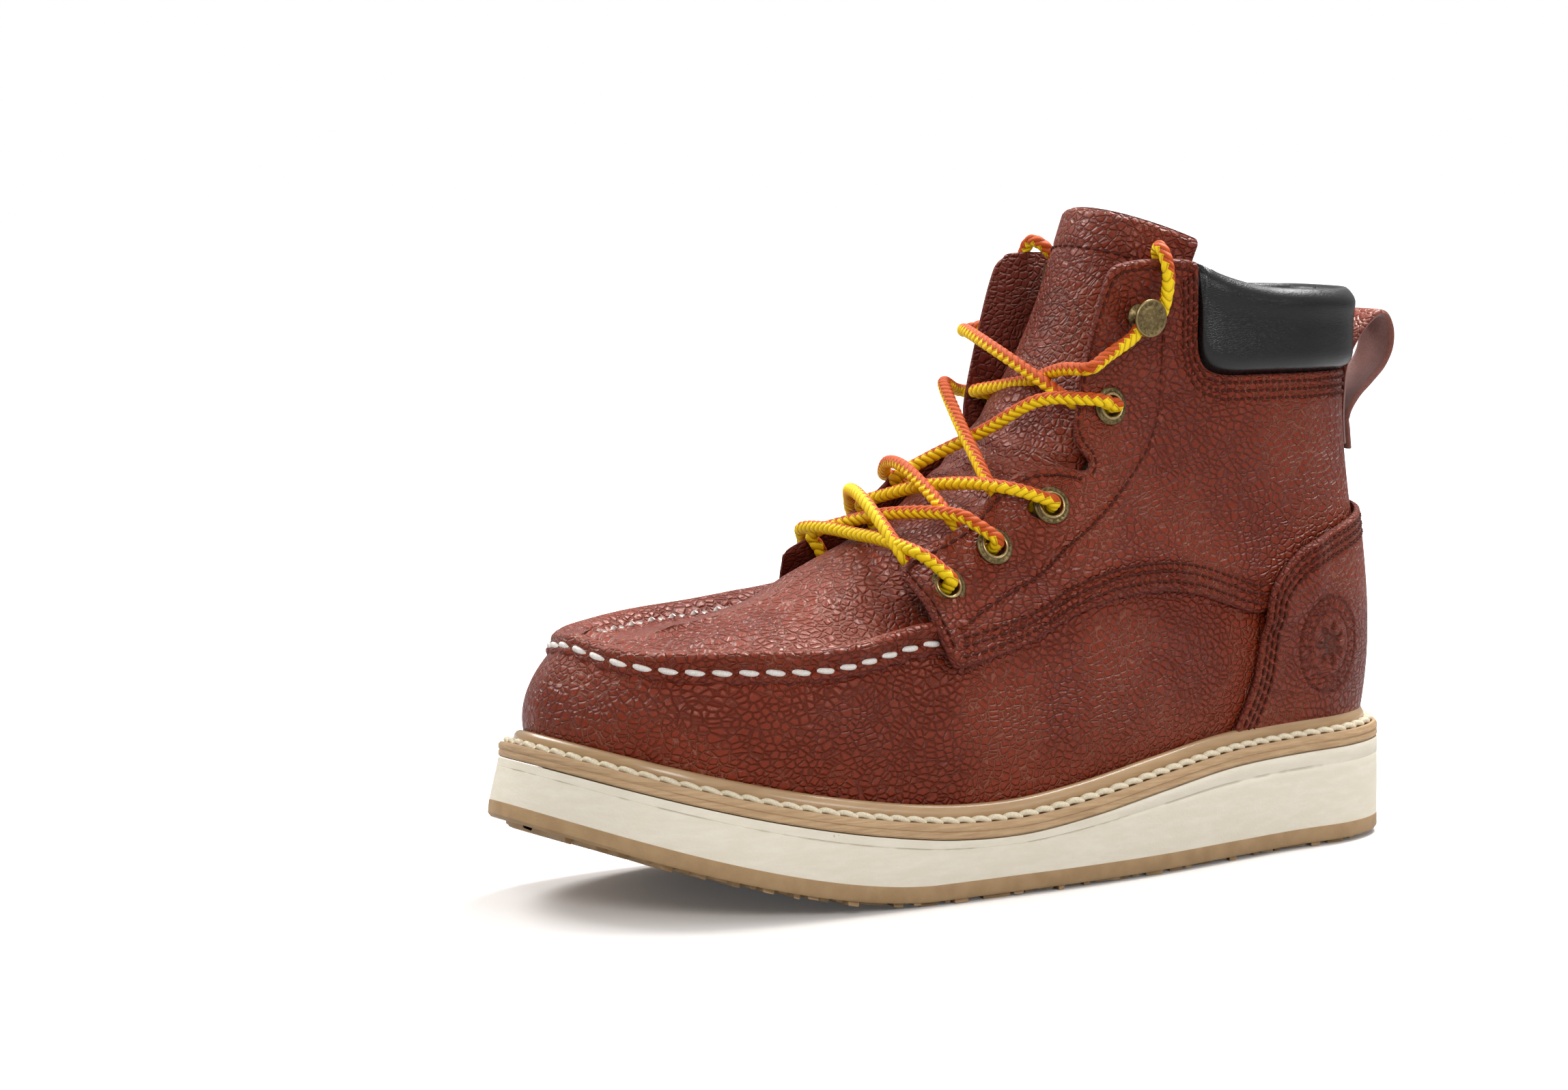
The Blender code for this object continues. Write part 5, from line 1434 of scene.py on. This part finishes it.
def build_lace():
    """A round two-colour braid: yellow and rust strands meet in a zigzag along both sides."""
    line = evenly(spline(lace_route(), None, steps=14), 0.55)
    run = arc_length(line)
    along = unit(np.gradient(line, axis=0))
    normals, normal = [], np.cross(along[0], (0, 1, 0.2))
    for way in along:
        normal = unit(normal - way * np.dot(normal, way))
        normals.append(normal)
    normals = np.array(normals)
    across = np.cross(along, normals)
    sides, pitch = 24, 2.7
    angle = np.arange(sides) * 2 * math.pi / sides
    phase = run / pitch
    # The seam between the colours faces out of the boot on the free stretches, and drifts slowly.
    out = np.array((0.75, 0.15, 0.55))
    level = np.cross(along, out)
    level /= np.maximum(np.linalg.norm(level, axis=1)[:, None], 0.2)
    level *= np.where(level[:, 2] < 0, -1, 1)[:, None]
    turn = np.unwrap(np.arctan2(np.sum(level * across, axis=1), np.sum(level * normals, axis=1)))
    turn = np.convolve(np.pad(turn, 12, mode="edge"), np.ones(25) / 25, mode="valid")
    turn += 0.55 * np.sin(run / 27.0) + 0.35 * np.sin(run / 61.0 + 1.0)
    from_seam = np.cos(angle[None] - turn[:, None])
    weave = np.abs(np.sin((phase[:, None] - np.abs(from_seam) * 0.9) * math.pi))
    radius = LACE_DIAMETER / 2 * (0.89 + 0.13 * weave)
    radius *= np.clip(np.minimum(run, run[-1] - run) / 1.0, 0.3, 1.0)[:, None]
    verts, faces = loft(round_rings(line, normals, across, radius, sides))
    piece = make("lace", verts, [f[::-1] for f in faces], "lace", rim=np.repeat(phase, sides),
                 tint=from_seam.ravel(), replaced=("lace_outer", "lace_inner"))
    tuple(placed(line[0]))
    placed(line[::3])


# ---------------------------------------------------------------- carried-over nodes, stage and camera
def dress_hidden_nodes():
    """Nodes whose solids are right as they are get real materials."""
    for name, substance in (("cork_filler", "cork"), ("insole_board", "board"), ("footbed", "foam"),
                            ("steel_shank", "steel"), ("heel_stiffener", "board")):
        mesh = frame["nodes"][name].data
        mesh.materials.clear()
        mesh.materials.append(MATERIALS[substance])


def build_toe_cap():
    """The steel cap and its lining, sunk a little so that the padded apron clears them."""
    for name, piece_name, substance in (("steel_toe_cap", "toe_cap_shell", "steel"),
                                        ("toe_lining", "toe_cap_lining", "lining")):
        node = frame["nodes"][name]
        spots = np.array([tuple(node.matrix_world @ v.co) for v in node.data.vertices]) / MM
        spots += (BOX_CENTRE[0], BOX_CENTRE[1], 0)
        high = smooth_step((spots[:, 2] - 38) / 24)
        spots[:, 2] -= 3.0 * high
        spots[:, :2] += (np.array((225, 0)) - spots[:, :2]) * (0.07 * high)[:, None]
        make(piece_name, spots, [list(f.vertices) for f in node.data.polygons], substance, sharp=40,
             replaced=(name,))


def light(name, place_mm, target_mm, size_mm, power):
    """A white rectangular lamp, placed and aimed in millimetres."""
    data = bpy.data.lights.new(name, "AREA")
    data.shape = "RECTANGLE"
    data.size, data.size_y = (s * MM for s in size_mm)
    data.energy = power
    lamp = linked(name, data)
    lamp.location = placed(place_mm)
    lamp.rotation_mode = "QUATERNION"
    lamp.rotation_quaternion = Vector(placed(target_mm) - placed(place_mm)).to_track_quat("-Z", "Y")


def build_stage():
    """A white sweep: pale in the picture, grayer in what it throws back on the boot, and brighter far away."""
    size = 6.0
    mesh = bpy.data.meshes.new("floor")
    corners = [(-size, -size, 0), (size, -size, 0), (size, size, 0), (-size, size, 0)]
    mesh.from_pydata(corners, [], [(0, 1, 2, 3)])
    p = Paint("floor_paper", Roughness=0.95, Specular_IOR_Level=0.1)
    seen = p.node("ShaderNodeLightPath").outputs["Is Camera Ray"]
    p.colour(p.mix(seen, (0.42, 0.42, 0.43), (0.92, 0.885, 0.86)))
    away = p.node("ShaderNodeVectorMath", {"operation": "LENGTH"}, {0: p.place}).outputs["Value"]
    p.tree.links.new(p.times(seen, p.ramp(away, 180.0, 900.0, 0.05, 1.0)),
                     p.shader.inputs["Emission Strength"])
    p.shader.inputs["Emission Color"].default_value = (1, 1, 1, 1)
    mesh.materials.append(MATERIALS["floor_paper"])
    linked("floor", mesh)
    world = bpy.data.worlds.new("studio")
    world.use_nodes = True
    sky = Nodes(world.node_tree)
    up = sky.node("ShaderNodeSeparateXYZ", None, {0: sky.node("ShaderNodeTexCoord").outputs["Generated"]})
    pale = sky.node("ShaderNodeMapRange", None, {"Value": up.outputs[2], "From Min": 0.0, "From Max": 1.0,
                                                 "To Min": 0.30, "To Max": 0.75}).outputs[0]
    seen = sky.node("ShaderNodeLightPath").outputs["Is Camera Ray"]
    background = sky.tree.nodes["Background"]
    sky.tree.links.new(sky.math("MAXIMUM", pale, seen), background.inputs["Strength"])
    background.inputs["Color"].default_value = (1, 1, 1, 1)
    bpy.context.scene.world = world
    light("key", (-320, -160, 900), (130, 0, 60), (500, 500), 15)
    light("front", (800, 900, 700), (180, 0, 60), (350, 350), 4)
    light("band", (-300, 1100, 420), (60, 0, 80), (500, 120), 2.2)
    light("throat", (430, -640, 760), (175, 0, 110), (600, 320), 6)
    bpy.context.scene.view_settings.view_transform = "Standard"


def build_camera():
    """The camera stands off the boot's outer side, a little ahead of it and above it."""
    swing = 0.61795            # radians from straight out sideways towards the toe
    distance, height = 1339.0, 236.23
    pan, tilt = 0.042586, 0.103624
    focal = 101.758            # for a 36 mm wide sensor
    spot = (150 + distance * math.sin(swing), distance * math.cos(swing), height)
    ahead = Vector((-math.sin(swing), -math.cos(swing), 0))
    ahead.rotate(Matrix.Rotation(pan, 3, "Z"))
    ahead = Vector((ahead.x * math.cos(tilt), ahead.y * math.cos(tilt), -math.sin(tilt)))
    right = ahead.cross(Vector((0, 0, 1))).normalized()
    up = right.cross(ahead)
    data = bpy.data.cameras.new("camera")
    data.sensor_width, data.lens = 36.0, focal
    data.clip_start, data.clip_end = 0.05, 50
    camera = linked("camera", data)
    camera.matrix_world = Matrix.Translation(placed(spot)) @ Matrix((right, up, -ahead)).transposed().to_4x4()
    bpy.context.scene.camera = camera


paint_all()
for build in (build_camera, build_stage, build_lace, build_sole, build_vamp, build_apron, build_quarters,
              build_counter, build_pull_loop, build_collar, build_lining, build_tongue, build_metal,
              build_toe_cap, dress_hidden_nodes):
    build()
